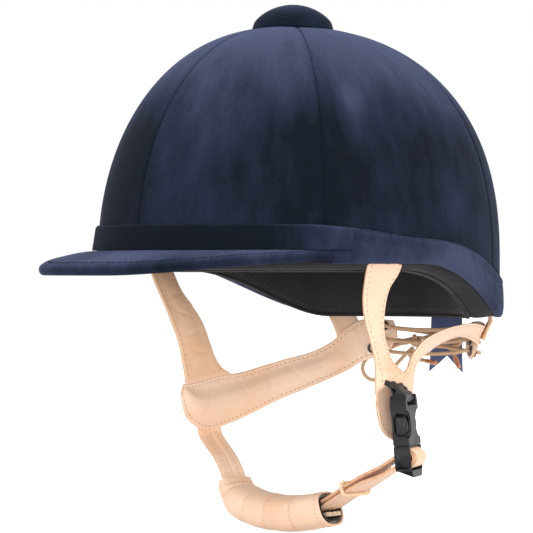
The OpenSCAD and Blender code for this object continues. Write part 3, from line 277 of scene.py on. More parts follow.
# A stitch's five rings: their places along it, and the radii and heights there as shares of its thickness
STITCH_AT = np.array([0, 0.14, 0.5, 0.86, 1.0])
STITCH_GIRTH = np.array([0.3, 0.85, 1.0, 0.85, 0.3])
STITCH_LIFT = np.array([-0.35, -0.05, 0.12, -0.05, -0.35])


def stitches(name, lines, look, pitch=3.0, share=0.66, d=0.55, sink=0.12, slant=0.0, slot=None):
    """Rows of thread stitches. Each line is a path and its outward normals.

    A stitch is a rod of six-sided rings that fills the given share of the pitch, d thick, with both ends let
    into the cloth. slant moves its ends to the two sides of the line.
    """
    starts, ends, ups = [], [], []
    for P, N in lines:
        s = travelled(P)
        count = max(1, int(s[-1] / pitch))
        a = (np.arange(count) + 0.5 * (1 - share)) * s[-1] / count
        b = a + share * s[-1] / count
        up = unit(sample(N, s, (a + b) / 2))
        p, q = sample(P, s, a), sample(P, s, b)
        side = np.cross(up, unit(q - p)) * slant
        starts.append(p - side)
        ends.append(q + side)
        ups.append(up)
    p, q, up = np.vstack(starts), np.vstack(ends), np.vstack(ups)
    t = unit(q - p)
    side = np.cross(up, t)
    lift = (d * STITCH_LIFT - sink)[None, :, None]
    centre = p[:, None] + (q - p)[:, None] * STITCH_AT[None, :, None] + up[:, None] * lift
    r = (d / 2 * STITCH_GIRTH)[None, :, None, None]
    turn = turns_of(6)[None, None, :, None]
    S = centre[:, :, None] + r * (np.cos(turn) * side[:, None, None] + np.sin(turn) * up[:, None, None])
    return solid(name, S, look, fold=80, slot=slot)


# Dome and rim

def fullness(a):
    """Power of the dome's curve at an angle: fuller behind than in front."""
    return mix(2.38, 2.18, (1 + np.cos(np.radians(a))) / 2)


def from_front(a):
    """Angle from the middle of the front, 0 to 180 degrees, on either side."""
    a = np.abs(a)
    return np.where(a > 180, 360 - a, a)


def outward(a, flat=1.0, up=0.0):
    """Unit vectors out from the hat at the angles, raised where up is given."""
    r = np.radians(a)
    return unit(np.stack([flat * np.sin(r), -flat * np.cos(r), up + 0 * r], 1))


def rim_z(a):
    """Height of the rim: level to the sides, then falling to the nape by a smooth step over 52 degrees."""
    return -NAPE_DROP * ease((from_front(a) - 86) / 52)


def band_top(a):
    """Height of the band's upper edge above the rim: a bell curve lower over the ears."""
    return BAND_H - BAND_DIP * bump(from_front(a) - 88, 21)


def felt_low(a):
    """Depth of the felt's edge below the rim: a smooth step from the front's to that behind."""
    return mix(FELT_FRONT, FELT_BACK, ease((from_front(a) - 90) / 24))


def on_dome(a, s, c, d, z):
    """Point at angle a and height z of the plan shrunk by c, leant ahead by the 4th power of the share s."""
    r = np.radians(a)
    return np.stack([(HALF_W + d) * c * np.sin(r), -(HALF_L + d) * c * np.cos(r) - CROWN_FWD * s ** 4, z], -1)


def dome_z(a, z, d, e=None):
    """Point of the dome at angle a and height z, offset d in plan and e in height.

    With s the share of the height and n the fullness there, the plan shrinks by (1 - s to the n) to the 1/n.
    """
    a, z = together(a, z)
    e = d if e is None else e
    n = fullness(a)
    s = np.clip(np.maximum(z, 0) / (CROWN_H + e), 0, 1)
    return on_dome(a, s, (1 - s ** n) ** (1 / n), d, z)


def dome_v(a, v, d, e=None):
    """Point of the dome at angle a and rise v, in degrees from the rim to the crown.

    The height goes by the sine, and the plan by the cosine, of the rise to the power 2/n.
    """
    a, v = together(a, v)
    e = d if e is None else e
    n = fullness(a)
    s, c = np.sin(np.radians(v)) ** (2 / n), np.cos(np.radians(v)) ** (2 / n)
    return on_dome(a, s, c, d, (CROWN_H + e) * s)


STRAIGHT_TO = 24.0


def dome_grid(a, low, low_rows, rows, d, top):
    """Points over an angle by height grid: level rows from low to 24 mm, then even rises to the top."""
    a = np.asarray(a, float)[:, None]
    t = np.linspace(0, 1, low_rows)[None]
    base = dome_z(a, mix(np.asarray(low, float).reshape(-1, 1), STRAIGHT_TO, t), d)
    first = np.degrees(np.arcsin((STRAIGHT_TO / (CROWN_H + d)) ** (fullness(a) / 2)))
    return np.concatenate([base, dome_v(a, mix(first, top, np.linspace(0, 1, rows + 1)[None, 1:]), d)], 1)


def grid_normals(G):
    """Normal of each point of a grid, from the differences to its neighbours."""
    return unit(np.cross(np.gradient(G, axis=0), np.gradient(G, axis=1)))


# Finishes

class Look:
    """A material being put together: nodes are added by name and joined by sockets."""

    def __init__(self, name):
        self.made = bpy.data.materials.new(name)
        self.made.use_nodes = True
        self.tree = self.made.node_tree
        self.shader = self.tree.nodes["Principled BSDF"]

    def feed(self, socket, value):
        """Joins a socket to another one's output, or sets its value."""
        if isinstance(value, bpy.types.NodeSocket):
            self.tree.links.new(value, socket)
        else:
            socket.default_value = value

    def node(self, kind, links=None, **settings):
        """New node with its settings, and its sockets fed by number or name."""
        made = self.tree.nodes.new(kind)
        for key, value in settings.items():
            setattr(made, key, value)
        for key, value in (links or {}).items():
            self.feed(made.inputs[key], value)
        return made

    def join(self, socket, name):
        """Joins an output to the named socket of the shader."""
        self.tree.links.new(socket, self.shader.inputs[name])

    def set(self, **values):
        """Sets the shader's own sockets, whose names are given with underscores for spaces."""
        for key, value in values.items():
            self.shader.inputs[key.replace("_", " ")].default_value = value

    def coords(self, kind, scale=(1, 1, 1)):
        """Place on the object or on its map, stretched by the scale."""
        source = self.node("ShaderNodeTexCoord").outputs[kind]
        return self.node("ShaderNodeMapping", {"Vector": source, "Scale": scale}).outputs[0]

    def noise(self, vector, scale, detail=3.0, rough=0.55):
        """Value of a noise at the place."""
        return self.node("ShaderNodeTexNoise", {"Vector": vector, "Scale": scale, "Detail": detail,
                                                "Roughness": rough}).outputs[0]

    def ramp(self, value, low, high, a, b):
        """Colour that goes from a to b as the value goes from low to high."""
        made = self.node("ShaderNodeValToRGB", {"Fac": value})
        for element, place, colour in zip(made.color_ramp.elements, (low, high), (a, b)):
            element.position, element.color = place, (*colour, 1)
        return made.outputs[0]

    def blend(self, amount, a, b, kind="MIX"):
        """Colour a with colour b over it by the amount."""
        colours = [(*c, 1) if isinstance(c, tuple) else c for c in (a, b)]
        links = {0: amount, 6: colours[0], 7: colours[1]}
        return self.node("ShaderNodeMix", links, data_type="RGBA", blend_type=kind).outputs[2]

    def maths(self, kind, a, b=0.0):
        """Result of a step of arithmetic on two values."""
        return self.node("ShaderNodeMath", {0: a, 1: b}, operation=kind).outputs[0]

    def stretch(self, value, a, b, c, d):
        """The value carried from the range a to b on to the range c to d, and held at its ends."""
        return self.node("ShaderNodeMapRange", {0: value, 1: a, 2: b, 3: c, 4: d}).outputs[0]

    def attribute(self, name):
        """Value of a mark that the mesh carries at its points."""
        return self.node("ShaderNodeAttribute", attribute_name=name).outputs["Fac"]

    def relief(self, height, distance, strength, under=None):
        """Normal bent by a height, over another normal where one is given."""
        links = {"Height": height, "Distance": distance, "Strength": strength}
        if under is not None:
            links["Normal"] = under
        return self.node("ShaderNodeBump", links).outputs[0]

    def group(self, tree, **values):
        """Node that holds a shader group, with its inputs fed by name."""
        return self.node("ShaderNodeGroup", values, node_tree=tree)


def new_group(name, inputs, outputs):
    """An empty shader group that takes a vector and the named numbers, and puts out the named values."""
    tree = bpy.data.node_groups.new(name, "ShaderNodeTree")
    tree.interface.new_socket("Vector", in_out="INPUT", socket_type="NodeSocketVector")
    for key, value in inputs.items():
        tree.interface.new_socket(key, in_out="INPUT", socket_type="NodeSocketFloat").default_value = value
    for key in outputs:
        tree.interface.new_socket(key, in_out="OUTPUT", socket_type="NodeSocketFloat")
    return tree, tree.nodes.new("NodeGroupInput"), tree.nodes.new("NodeGroupOutput")


def fibre_group():
    """Short fibres and mottling for cloth: fine noise for the relief and broad noise for the colour."""
    tree, source, out = new_group("fibre", {"Fine": 2500.0, "Broad": 40.0}, ("Height", "Mottle"))
    for key, scale, detail in (("Height", "Fine", 3.0), ("Mottle", "Broad", 5.0)):
        noise = tree.nodes.new("ShaderNodeTexNoise")
        tree.links.new(source.outputs["Vector"], noise.inputs["Vector"])
        tree.links.new(source.outputs[scale], noise.inputs["Scale"])
        noise.inputs["Detail"].default_value = detail
        tree.links.new(noise.outputs[0], out.inputs[key])
    return tree


def grain_group():
    """Leather grain: cells that a noise bends, and long fine creases across the first axis."""
    tree, source, out = new_group("grain", {"Cells": 900.0, "Creases": 60.0}, ("Height", "Crease"))
    new = tree.nodes.new
    cells = new("ShaderNodeTexVoronoi")
    cells.feature = "SMOOTH_F1"
    tree.links.new(source.outputs["Vector"], cells.inputs["Vector"])
    tree.links.new(source.outputs["Cells"], cells.inputs["Scale"])
    tree.links.new(cells.outputs["Distance"], out.inputs["Height"])
    crease = new("ShaderNodeTexNoise")
    crease.noise_type = "RIDGED_MULTIFRACTAL"
    crease.inputs["Detail"].default_value = 3.0
    crease.inputs["Distortion"].default_value = 0.4
    long_way = new("ShaderNodeMapping")
    long_way.inputs["Scale"].default_value = (0.35, 1.0, 1.0)
    tree.links.new(source.outputs["Vector"], long_way.inputs["Vector"])
    tree.links.new(long_way.outputs[0], crease.inputs["Vector"])
    tree.links.new(source.outputs["Creases"], crease.inputs["Scale"])
    tree.links.new(crease.outputs[0], out.inputs["Crease"])
    return tree


FIBRE = fibre_group()
GRAIN = grain_group()


def velvet_look(name, dark, mid, light, tint):
    """Short pile. Colour and sheen weight follow a mark of brushing and painted light, plus streaks, clouds
    and grain.
    """
    k = Look(name)
    streaks = k.noise(k.coords("UV", (26, 90, 26)), 1.0, 5.0, 0.6)
    cloud = k.noise(k.coords("Object"), 24.0, 3.0)
    fibre = k.group(FIBRE, Vector=k.coords("Object"), Fine=2600.0, Broad=1100.0)
    # The mark holds the pile's brushing and painted light and shade: lighter where light falls, darker in
    # shade.
    nap_and_light = k.attribute("nap_and_light")
    for value, reach in ((streaks, 0.13), (cloud, 0.08), (fibre.outputs["Mottle"], 0.07)):
        nap_and_light = k.maths("ADD", nap_and_light, k.stretch(value, 0.3, 0.7, -reach, reach))
    low = k.ramp(nap_and_light, 0.15, 0.5, dark, mid)
    high = k.ramp(nap_and_light, 0.5, 0.92, (0, 0, 0), (1, 1, 1))
    k.join(k.blend(high, low, light), "Base Color")
    k.join(k.stretch(nap_and_light, 0.1, 0.9, 0.03, 0.16), "Sheen Weight")
    k.set(Roughness=0.86, Sheen_Roughness=0.42, Sheen_Tint=(*tint, 1), Specular_IOR_Level=0.1)
    k.join(k.relief(fibre.outputs["Height"], 0.0003, 0.55), "Normal")
    return k.made


def leather_look(name, colour, deep, crease=0.0005):
    """Pale leather: close grain, fine creases across the strap, and warmer and paler patches."""
    k = Look(name)
    g = k.group(GRAIN, Vector=k.coords("Object"), Cells=1100.0, Creases=85.0)
    tone = k.noise(k.coords("Object"), 34.0, 4.0)
    base = k.ramp(tone, 0.32, 0.72, deep, colour)
    patch = k.stretch(k.noise(k.coords("Object", (1, 1, 1.6)), 19.0, 2.0), 0.48, 0.66, 0.0, 1.0)
    warmed = k.blend(patch, base, k.blend(1.0, base, (1.0, 0.93, 0.84), "MULTIPLY"))
    # Darker along the creases: partly their own tone and partly painted shade in them.
    line = k.stretch(g.outputs["Crease"], 0.5, 1.0, 0.0, 0.55)
    k.join(k.blend(line, warmed, tuple(0.78 * c for c in deep)), "Base Color")
    k.join(k.stretch(tone, 0.3, 0.7, 0.42, 0.56), "Roughness")
    k.set(Specular_IOR_Level=0.35)
    first = k.relief(g.outputs["Height"], 0.00012, 0.5)
    k.join(k.relief(g.outputs["Crease"], crease, 0.6, first), "Normal")
    return k.made


def cloth_look(name, colour, other, rough=0.8, sheen=0.2, fine=2600.0, depth=0.0002, broad=60.0):
    """Matt cloth mottled from one colour to the other, with short fibres of the given depth."""
    k = Look(name)
    f = k.group(FIBRE, Vector=k.coords("Object"), Fine=fine, Broad=broad)
    k.join(k.ramp(f.outputs["Mottle"], 0.3, 0.7, colour, other), "Base Color")
    k.set(Roughness=rough, Sheen_Weight=sheen, Sheen_Roughness=0.5, Specular_IOR_Level=0.2)
    k.join(k.relief(f.outputs["Height"], depth, 0.6), "Normal")
    return k.made


def plastic_look(name, colour, other, rough=0.42, coat=0.0, shine=0.5):
    """Moulded plastic with a fine spark texture and slightly rubbed patches."""
    k = Look(name)
    fine = k.noise(k.coords("Object"), 1500.0, 2.0)
    patch = k.noise(k.coords("Object"), 90.0, 4.0)
    k.join(k.ramp(patch, 0.35, 0.7, colour, other), "Base Color")
    k.join(k.stretch(patch, 0.3, 0.7, rough - 0.06, rough + 0.08), "Roughness")
    k.set(Specular_IOR_Level=shine, Coat_Weight=coat, Coat_Roughness=0.2)
    k.join(k.relief(fine, 0.00006, 0.6), "Normal")
    return k.made


def thread_look(name, colour, other, sheen=0.15, shine=0.25):
    """Twisted thread: fine slanting bands."""
    k = Look(name)
    wave = k.node("ShaderNodeTexWave", {"Vector": k.coords("Object"), "Scale": 900.0, "Distortion": 2.0},
                  bands_direction="DIAGONAL")
    k.join(k.ramp(wave.outputs["Fac"], 0.2, 0.8, colour, other), "Base Color")
    k.set(Roughness=0.7, Sheen_Weight=sheen, Specular_IOR_Level=shine)
    return k.made


BRAID_STRANDS, BRAID_PITCH, BRAID_GIRTH = 7.0, 0.0017, 0.0072


def braid_look(name, colour, other):
    """Braid of two sets of slanting strands: sines of the way round the cord plus and less the way along."""
    k = Look(name)
    uv = k.node("ShaderNodeTexCoord").outputs["UV"]
    part = k.node("ShaderNodeSeparateXYZ", {"Vector": uv})
    turn = k.maths("MULTIPLY", part.outputs[0], 2 * np.pi * BRAID_STRANDS / BRAID_GIRTH)
    along = k.maths("MULTIPLY", part.outputs[1], 2 * np.pi / BRAID_PITCH)
    one = k.maths("SINE", k.maths("ADD", turn, along))
    two = k.maths("SINE", k.maths("SUBTRACT", turn, along))
    high = k.maths("MAXIMUM", one, two)
    # Darker between the strands: painted shade in the grooves of the braid.
    k.join(k.ramp(k.stretch(high, -0.6, 1.0, 0.0, 1.0), 0.1, 0.8, other, colour), "Base Color")
    k.set(Roughness=0.68, Sheen_Weight=0.2, Specular_IOR_Level=0.3)
    k.join(k.relief(high, 0.00022, 0.9), "Normal")
    return k.made


def metal_look(name, colour, rough):
    """Plated metal, scuffed in patches that are darker and duller."""
    k = Look(name)
    scuff = k.noise(k.coords("Object"), 400.0, 4.0)
    k.join(k.ramp(scuff, 0.3, 0.7, colour, tuple(0.8 * c for c in colour)), "Base Color")
    k.join(k.stretch(scuff, 0.3, 0.7, rough, rough + 0.15), "Roughness")
    k.set(Metallic=1.0)
    return k.made


NAVY = velvet_look("navy_velvet", dark=(0.0018, 0.0042, 0.0085), mid=(0.0125, 0.0172, 0.038),
                   light=(0.042, 0.049, 0.094), tint=(0.3, 0.37, 0.7))
NAVY_DARK = velvet_look("navy_velvet_dark", dark=(0.0014, 0.004, 0.009), mid=(0.0115, 0.0178, 0.038),
                        light=(0.038, 0.047, 0.092), tint=(0.3, 0.36, 0.6))
LEATHER = leather_look("pale_leather", (0.9, 0.635, 0.47), (0.83, 0.55, 0.385))
# Paler copy of the leather for the backs of the pieces and the chin strap: painted light for faces left in
# shade.
LEATHER_PAINTED_LIGHTER = leather_look("pale_leather_painted_lighter", (0.97, 0.71, 0.54), (0.92, 0.63, 0.46), crease=0.0008)
# Warmer copy of the leather for the backs of the front straps: painted warm bounce light on their shaded
# faces.
LEATHER_PAINTED_BOUNCE = leather_look("pale_leather_painted_bounce", (0.93, 0.63, 0.43), (0.87, 0.54, 0.34), crease=0.0008)
LEATHER_EDGE = cloth_look("leather_edge", (0.56, 0.27, 0.13), (0.74, 0.44, 0.26), rough=0.7, sheen=0.1,
                          fine=1800.0, broad=240.0)
LEATHER_RAW = leather_look("raw_leather", (0.9, 0.66, 0.46), (0.78, 0.5, 0.3), crease=0.0004)
BLACK_CLOTH = cloth_look("black_lining", (0.0085, 0.0082, 0.009), (0.0145, 0.0135, 0.0145), rough=0.62,
                         sheen=0.12, fine=3000.0, depth=0.0001)
FELT = cloth_look("brown_grey_felt", (0.006, 0.005, 0.007), (0.0105, 0.009, 0.0125), rough=0.95, sheen=0.06,
                  fine=900.0, depth=0.0009, broad=120.0)
PIPING = cloth_look("grey_piping", (0.016, 0.015, 0.017), (0.028, 0.026, 0.028), rough=0.75, sheen=0.05)
UNDER_CLOTH = cloth_look("under_peak_cloth", (0.006, 0.007, 0.011), (0.011, 0.012, 0.018), rough=0.85)
THREAD = thread_look("brown_thread", (0.42, 0.21, 0.11), (0.6, 0.34, 0.19))
THREAD_NAVY = thread_look("navy_thread", (0.003, 0.005, 0.012), (0.008, 0.012, 0.026), sheen=0.0, shine=0.03)
THREAD_GREY = thread_look("grey_thread", (0.025, 0.025, 0.027), (0.05, 0.048, 0.05))
LACE = braid_look("tan_braid", (0.84, 0.53, 0.3), (0.28, 0.14, 0.06))
PAD_FOAM = cloth_look("open_foam", (0.42, 0.4, 0.33), (0.52, 0.5, 0.42), rough=0.95, sheen=0.1, fine=1400.0,
                      depth=0.0006)
HOOK_TAPE = cloth_look("beige_hook_tape", (0.5, 0.36, 0.22), (0.78, 0.62, 0.42), rough=0.9, sheen=0.4,
                       fine=1100.0, depth=0.0012, broad=500.0)
BUCKLE = plastic_look("buckle_plastic", (0.009, 0.0095, 0.0115), (0.016, 0.0165, 0.02), rough=0.38,
                      shine=0.26)
SHELL_LOOK = plastic_look("moulded_shell", (0.03, 0.03, 0.033), (0.045, 0.045, 0.05), rough=0.55)
FOAM_LOOK = cloth_look("beaded_foam", (0.7, 0.7, 0.66), (0.8, 0.8, 0.76), rough=0.9, sheen=0.0, fine=500.0,
                       depth=0.0005)
WOOD_LOOK = cloth_look("turned_wood", (0.36, 0.22, 0.11), (0.5, 0.33, 0.18), rough=0.7, sheen=0.0, fine=300.0)
STEEL = metal_look("plated_steel", (0.55, 0.55, 0.56), rough=0.3)
EYELET_LOOK = plastic_look("black_enamel", (0.012, 0.012, 0.013), (0.02, 0.02, 0.02), rough=0.3, coat=0.5)
AGLET_LOOK = plastic_look("orange_brown_sleeve", (0.42, 0.13, 0.045), (0.55, 0.2, 0.07), rough=0.3, coat=0.4)


def ribbon_look():
    """Ribbed ribbon: fine ribs across its length and a slight satin gloss."""
    k = Look("navy_ribbon")
    ribs = k.node("ShaderNodeTexWave", {"Vector": k.coords("Object"), "Scale": 520.0, "Distortion": 0.6},
                  bands_direction="Z")
    tone = k.noise(k.coords("Object"), 60.0, 4.0)
    # The ribbon's blue is raised above its own as painted light, for the shade it lies in behind the hat.
    k.join(k.ramp(tone, 0.3, 0.7, (0.055, 0.08, 0.2), (0.08, 0.11, 0.26)), "Base Color")
    k.set(Roughness=0.62, Sheen_Weight=0.25, Specular_IOR_Level=0.3)
    k.join(k.relief(ribs.outputs["Fac"], 0.00012, 0.5), "Normal")
    return k.made


def webbing_look():
    """Black ribbed webbing: the ribs are in the mesh, and this adds the yarns on them."""
    k = Look("black_webbing")
    yarn = k.noise(k.coords("Object"), 1700.0, 2.0)
    k.join(k.ramp(yarn, 0.35, 0.7, (0.0035, 0.0036, 0.0045), (0.011, 0.0115, 0.0135)), "Base Color")
    k.set(Roughness=0.36, Sheen_Weight=0.02, Specular_IOR_Level=0.4)
    k.join(k.relief(yarn, 0.00015, 0.7), "Normal")
    return k.made


RIBBON = ribbon_look()
WEBBING = webbing_look()


# Laces come first, because they are free cords

LACE_D = 2.3
EYELETS = ((110.2, -39.8), (107.6, -46.8), (104.0, -53.0))
HX, HY = HALF_W + TONGUE_O, HALF_L + TONGUE_O
LEAN, LEAN_OVER = 0.17, 18.0
FLAT_AHEAD_OF, FLAT_OVER = -5.0, 25.0


def rim_beside(y):
    """Height of the rim beside a place y along the hat."""
    return rim_z(np.degrees(np.arccos(np.clip(-y / HALF_L, -1, 1))))


def side_x(y, z):
    """Distance of the harness's outer face from the middle plane.

    Above the rim it follows the shell's inside. Below, it leans in by an exponential of the drop, and ahead
    of the ears it flattens over the first 25 mm.
    """
    y, z = together(y, z)
    h = z - rim_beside(y)
    k = 1 - LEAN * (1 - np.exp(np.minimum(0, h) / LEAN_OVER))
    w = np.clip(-h / FLAT_OVER, 0, 1)
    yy = np.where(y < FLAT_AHEAD_OF, mix(y, FLAT_AHEAD_OF, w), y)
    q = yy / (HY * (1 - 0.35 * (1 - k)))
    n = fullness(72)
    c = np.where(z > 0, (1 - (np.maximum(z, 0) / (CROWN_H + SHELL_I)) ** n) ** (1 / n), 1)
    return HX * k * c * np.sqrt(np.maximum(0, 1 - q * q / (c * c)))


def side_pt(s, y, z, off=0.0):
    """Point of the harness's outer face on side s, 1 for the left and -1 for the right."""
    y, z = together(y, z)
    return np.stack([s * (side_x(y, z) + off), y, z], -1)


def side_normal(s, y, z):
    """Outward normal there, from points 1 mm to each side."""
    y, z = together(y, z)
    o = np.zeros_like(y)
    a = np.stack([s * (side_x(y + 1, z) - side_x(y - 1, z)), o + 2, o], -1)
    b = np.stack([s * (side_x(y, z + 1) - side_x(y, z - 1)), o, o + 2], -1)
    return unit(np.cross(a, b) * s)


def eye(s, k, h):
    """Point on an eyelet's axis, h out from the leather."""
    y, z = EYELETS[k]
    return side_pt(s, y, z) + h * side_normal(s, y, z)


KNOT = np.array([-21.0, 121.6, -48.0])


def off_knot(*v):
    """Point 5 mm from the knot's middle in a direction."""
    return KNOT + unit(np.array(v, float)) * 5.0


def through(s, k, sgn):
    """Lace through an eyelet, from outside to inside where sgn is 1."""
    P = [eye(s, k, 3.6) + [-s * 6.5, 4, 0], eye(s, k, 2.8), eye(s, k, -1), eye(s, k, -4.8),
         eye(s, k, -5.8) - [s * 7, 0, 1.6]]
    return P if sgn > 0 else P[::-1]


LACE_PATHS = {
    "lace": [off_knot(-1, -0.25, -0.3), [-29, 116.6, -50], *through(-1, 2, 1), *through(1, 2, -1),
             *through(-1, 1, 1), *through(1, 1, -1), *through(-1, 0, 1), *through(1, 0, -1),
             [2, 117.4, -43.4], [-8, 118, -46.2], off_knot(1, -0.2, 0.35)],
    "lace_loop_left": [off_knot(-1, 0.5, 0.25), [-30, 121.4, -48.2], [-38.5, 120.2, -51.5],
                       [-47.4, 117.5, -54.8], [-54.8, 115, -58.9], [-58.1, 113.5, -65.1],
                       [-54.7, 113.5, -71.3], [-48.9, 115, -73], [-41.5, 117, -69.1], [-33, 119, -61.5],
                       [-27, 120.6, -55.5], off_knot(-0.6, 0.2, -0.9)],
    "lace_loop_right": [off_knot(0.85, 0.6, 0.4), [-8.4, 125.2, -45], [3.1, 125.4, -44.2],
                        [12.7, 123.8, -45.2], [14.9, 122.4, -48.1], [8.8, 122.6, -50.7],
                        [-2.5, 123.6, -51.4], [-11, 123.6, -51], off_knot(0.9, 0.35, -0.5)],
    "lace_tail_left": [off_knot(0, -0.35, -1), [-22.4, 117.4, -56.2], [-18.5, 116.6, -59],
                       [-12.4, 115.6, -59.4], [-6.3, 115, -60.1]],
    "lace_tail_right": [off_knot(0.6, 1, -0.05), [-11, 128.6, -48.6], [-2, 128.6, -50.6], [4, 127, -54],
                        [8, 125, -58]],
}


def braided(node, P):
    """Braided cord along a path: its radius ripples by a twentieth of the greater of two crossing sines."""
    P = evenly(P, 0.45)
    S = tube_sections(P, end_radii(P, LACE_D / 2), 16)
    twist = travelled(P)[:, None] * 2.6
    t = turns_of(S.shape[1])[None]
    ripple = np.maximum(np.sin(2 * t + twist), np.sin(2 * t - twist))
    S = P[:, None] + (S - P[:, None]) * (1 + 0.05 * (ripple - 0.5))[..., None]
    return solid(node + "_braid", S, LACE, stands_for=[node], slot="lace", fold=70)


for cord_name, points in LACE_PATHS.items():
    path = smooth_path(points, 10)
    made = braided(cord_name, path)
    length = travelled(path)[-1]


def lace_knot():
    """Overhand knot: a three-lobed curve that passes over and under itself, pressed flat and small.

    It goes round twice, at a radius of 2 mm plus 0.95 of the cosine of three turns, and its depth is 1.5 of
    their sine.
    """
    t = turns_of(220)
    ring = 2.0 + 0.95 * np.cos(3 * t)
    P = KNOT + np.stack([ring * np.cos(2 * t), 1.5 * np.sin(3 * t), ring * np.sin(2 * t)], 1)
    T = unit(np.roll(P, -1, 0) - np.roll(P, 1, 0))
    N = unit(np.cross(T, unit(P - KNOT)))
    solid("lace_knot_tied", round_sections(P, N, np.cross(T, N), LACE_D / 2, LACE_D / 2, 14), LACE, ring=True,
          stands_for=["lace_knot"], slot="lace", fold=80)


lace_knot()


# Velvet panels

# Patches lighter or darker, partly the pile brushed otherwise and partly painted light and shade: angle,
# height, width, tallness, and how much lighter
NAP_AND_LIGHT_PATCHES = ((16, 66, 13, 24, 0.18), (52, 52, 11, 42, -0.22), (61, 75, 3.5, 45, -0.12),
               (70, 90, 9, 18, 0.15), (68, 84, 4, 20, 0.1), (44, 80, 2.2, 16, 0.1), (48, 84, 1.6, 14, 0.08),
               (84, 50, 16, 30, -0.06), (97, 85, 2, 14, 0.1), (101, 32, 4, 14, 0.12), (108, 80, 9, 22, 0.1),
               (118, 38, 10, 36, -0.06), (-14, 40, 14, 40, -0.3), (-75, 50, 20, 40, -0.1),
               (140, 60, 22, 50, 0.1), (-120, 60, 30, 50, 0.1), (170, 40, 20, 30, -0.1))


def nap_and_light_of(a, z):
    """Tone of the pile, 0 dark to 1 light: a painted highlight towards the crown, where the light from above
    falls, and patches down the sides that are partly brushed pile and partly painted light and shade.

    The crown's share is a smooth step of the height. Each patch is a bell curve in angle times one in height.
    """
    a = np.where(a > 180, a - 360, a)
    n = 0.3 + 0.6 * ease((z - 66) / 56)
    for at, height, wide, tall, amount in NAP_AND_LIGHT_PATCHES:
        n = n + amount * bump(a - at, wide) * bump(z - height, tall)
    return n


def panel_low(a):
    """Height of a panel's lower edge, which the band covers."""
    a = from_front(a)
    return np.where(a < PEAK_A, 15.5, rim_z(a) + 2.6)


PANEL_GAP, PANEL_TOP = 0.05, 88.9
SEAM_DIP = 0.62


def velvet_panel(k):
    """One gore: the dome's surface, dipping into its seams, with small puckers beside the stitching.

    The dip is two exponentials of the distance to the nearer seam. A pucker is a sine of the way up that dies
    out from the seam by another, and the slack between is a sine of the angle by a bell curve of the height.
    """
    s = np.linspace(0, 1, 64)
    s = s - 0.12 * np.sin(2 * np.pi * s) / (2 * np.pi)
    a = mix(SEAMS[k] + PANEL_GAP, SEAMS[k + 1] - PANEL_GAP, s)
    G = dome_grid(a, panel_low(a), 22, 70, 0.0, PANEL_TOP)
    z = G[..., 2]
    reach = np.linalg.norm(G[..., :2] + np.array([0, CROWN_FWD]), axis=-1)
    off = np.minimum(a - SEAMS[k], SEAMS[k + 1] - a)[:, None] * np.radians(1) * reach
    s_up = np.cumsum(np.linalg.norm(np.diff(G, axis=1, prepend=G[:, :1]), axis=-1), axis=1)
    dip = SEAM_DIP * np.exp(-off / 1.3) + 0.16 * np.exp(-off / 6)
    pucker = 0.09 * np.sin(s_up * 2 * np.pi / 7 + 2 * np.sin(s_up / 23 + k)) * np.exp(-off / 5)
    slack = 0.16 * np.sin(a[:, None] / 3.1 + k) * bump(z - 45, 40)
    N = grid_normals(G)
    N = N * np.sign((N * (G - [0, 0, 30])).sum(-1, keepdims=True))
    outer = G - N * (dip - pucker - slack * 0.6 + 0.15)[..., None]
    inner = dome_grid(a, panel_low(a), 22, 70, -COVER_T + 0.05, PANEL_TOP)
    S = np.concatenate([outer, inner[:, ::-1]], 1)
    # Pile tone with painted light: lighter towards the crown where the light from above falls, and painted
    # shade in the seam dips.
    nap_and_light = nap_and_light_of(a[:, None], z) - 0.12 * np.exp(-off / 1.0)
    marks = {"nap_and_light": np.concatenate([nap_and_light, nap_and_light[:, ::-1]], 1)}
    name = f"velvet_panel_{k + 1}"
    solid(name + "_cloth", S, NAVY, stands_for=[name], slot="velvet", marks=marks, fold=60)


for panel in range(6):
    velvet_panel(panel)


def seam_stitches():
    """Small stitches that show in each seam between two panels."""
    lines = []
    for seam in SEAMS[:-1]:
        low = 16 if from_front(seam) < PEAK_A else rim_z(seam) + 3
        P = dome_grid([seam - 0.01], [low], 30, 120, -SEAM_DIP, 86)[0]
        lines.append((P, unit(P - np.array([0, 0, 25]))))
    stitches("seam_stitches", lines, THREAD_NAVY, pitch=2.6, share=0.72, d=0.45, sink=0.22)


seam_stitches()


# Bands

def band_front():
    """Flat velvet band over the peak's root, rounded at its upper edge and flared at its foot.

    The flare is 1.4 mm times the share of the height left, to the power 1.6, and dies out at the band's ends.
    """
    a = np.linspace(-BAND_SPLIT - 0.15, BAND_SPLIT + 0.15, 150)[:, None]
    z0 = PEAK_ROOT_Z + 0.1
    t = np.linspace(0, 1, 26)
    h = band_top(a)
    z = mix(z0, h, t[None]) + 0.12 * np.sin(a / 2.7)
    flare = 1.4 * (1 - t) ** 1.6 * ease((BAND_SPLIT - np.abs(a)) / 12)
    d = BAND_T - 0.55 * bump(t - 1, 0.07) - 0.35 * (t > 0.999) + flare + 0.08 * np.sin(a / 5 + 3 * t)
    outer = dome_z(a, z, d)
    inner = dome_z(a, mix(z0, h, t[None]), 0.3)
    S = np.concatenate([outer, inner[:, ::-1]], 1)
    # Its tone is dark at the front and lighter towards its ends where it meets the back band, with a painted
    # highlight along its rounded upper edge.
    nap_and_light = 0.02 + 0.2 * bump(t - 1, 0.06)[None] + 0.5 * ease((np.abs(a) - 36) / 24) + 0 * outer[..., 0]
    solid("band_front_cloth", S, NAVY, stands_for=["band_front"], slot="dark_velvet",
          marks={"nap_and_light": np.concatenate([nap_and_light, nap_and_light[:, ::-1]], 1)}, fold=60)


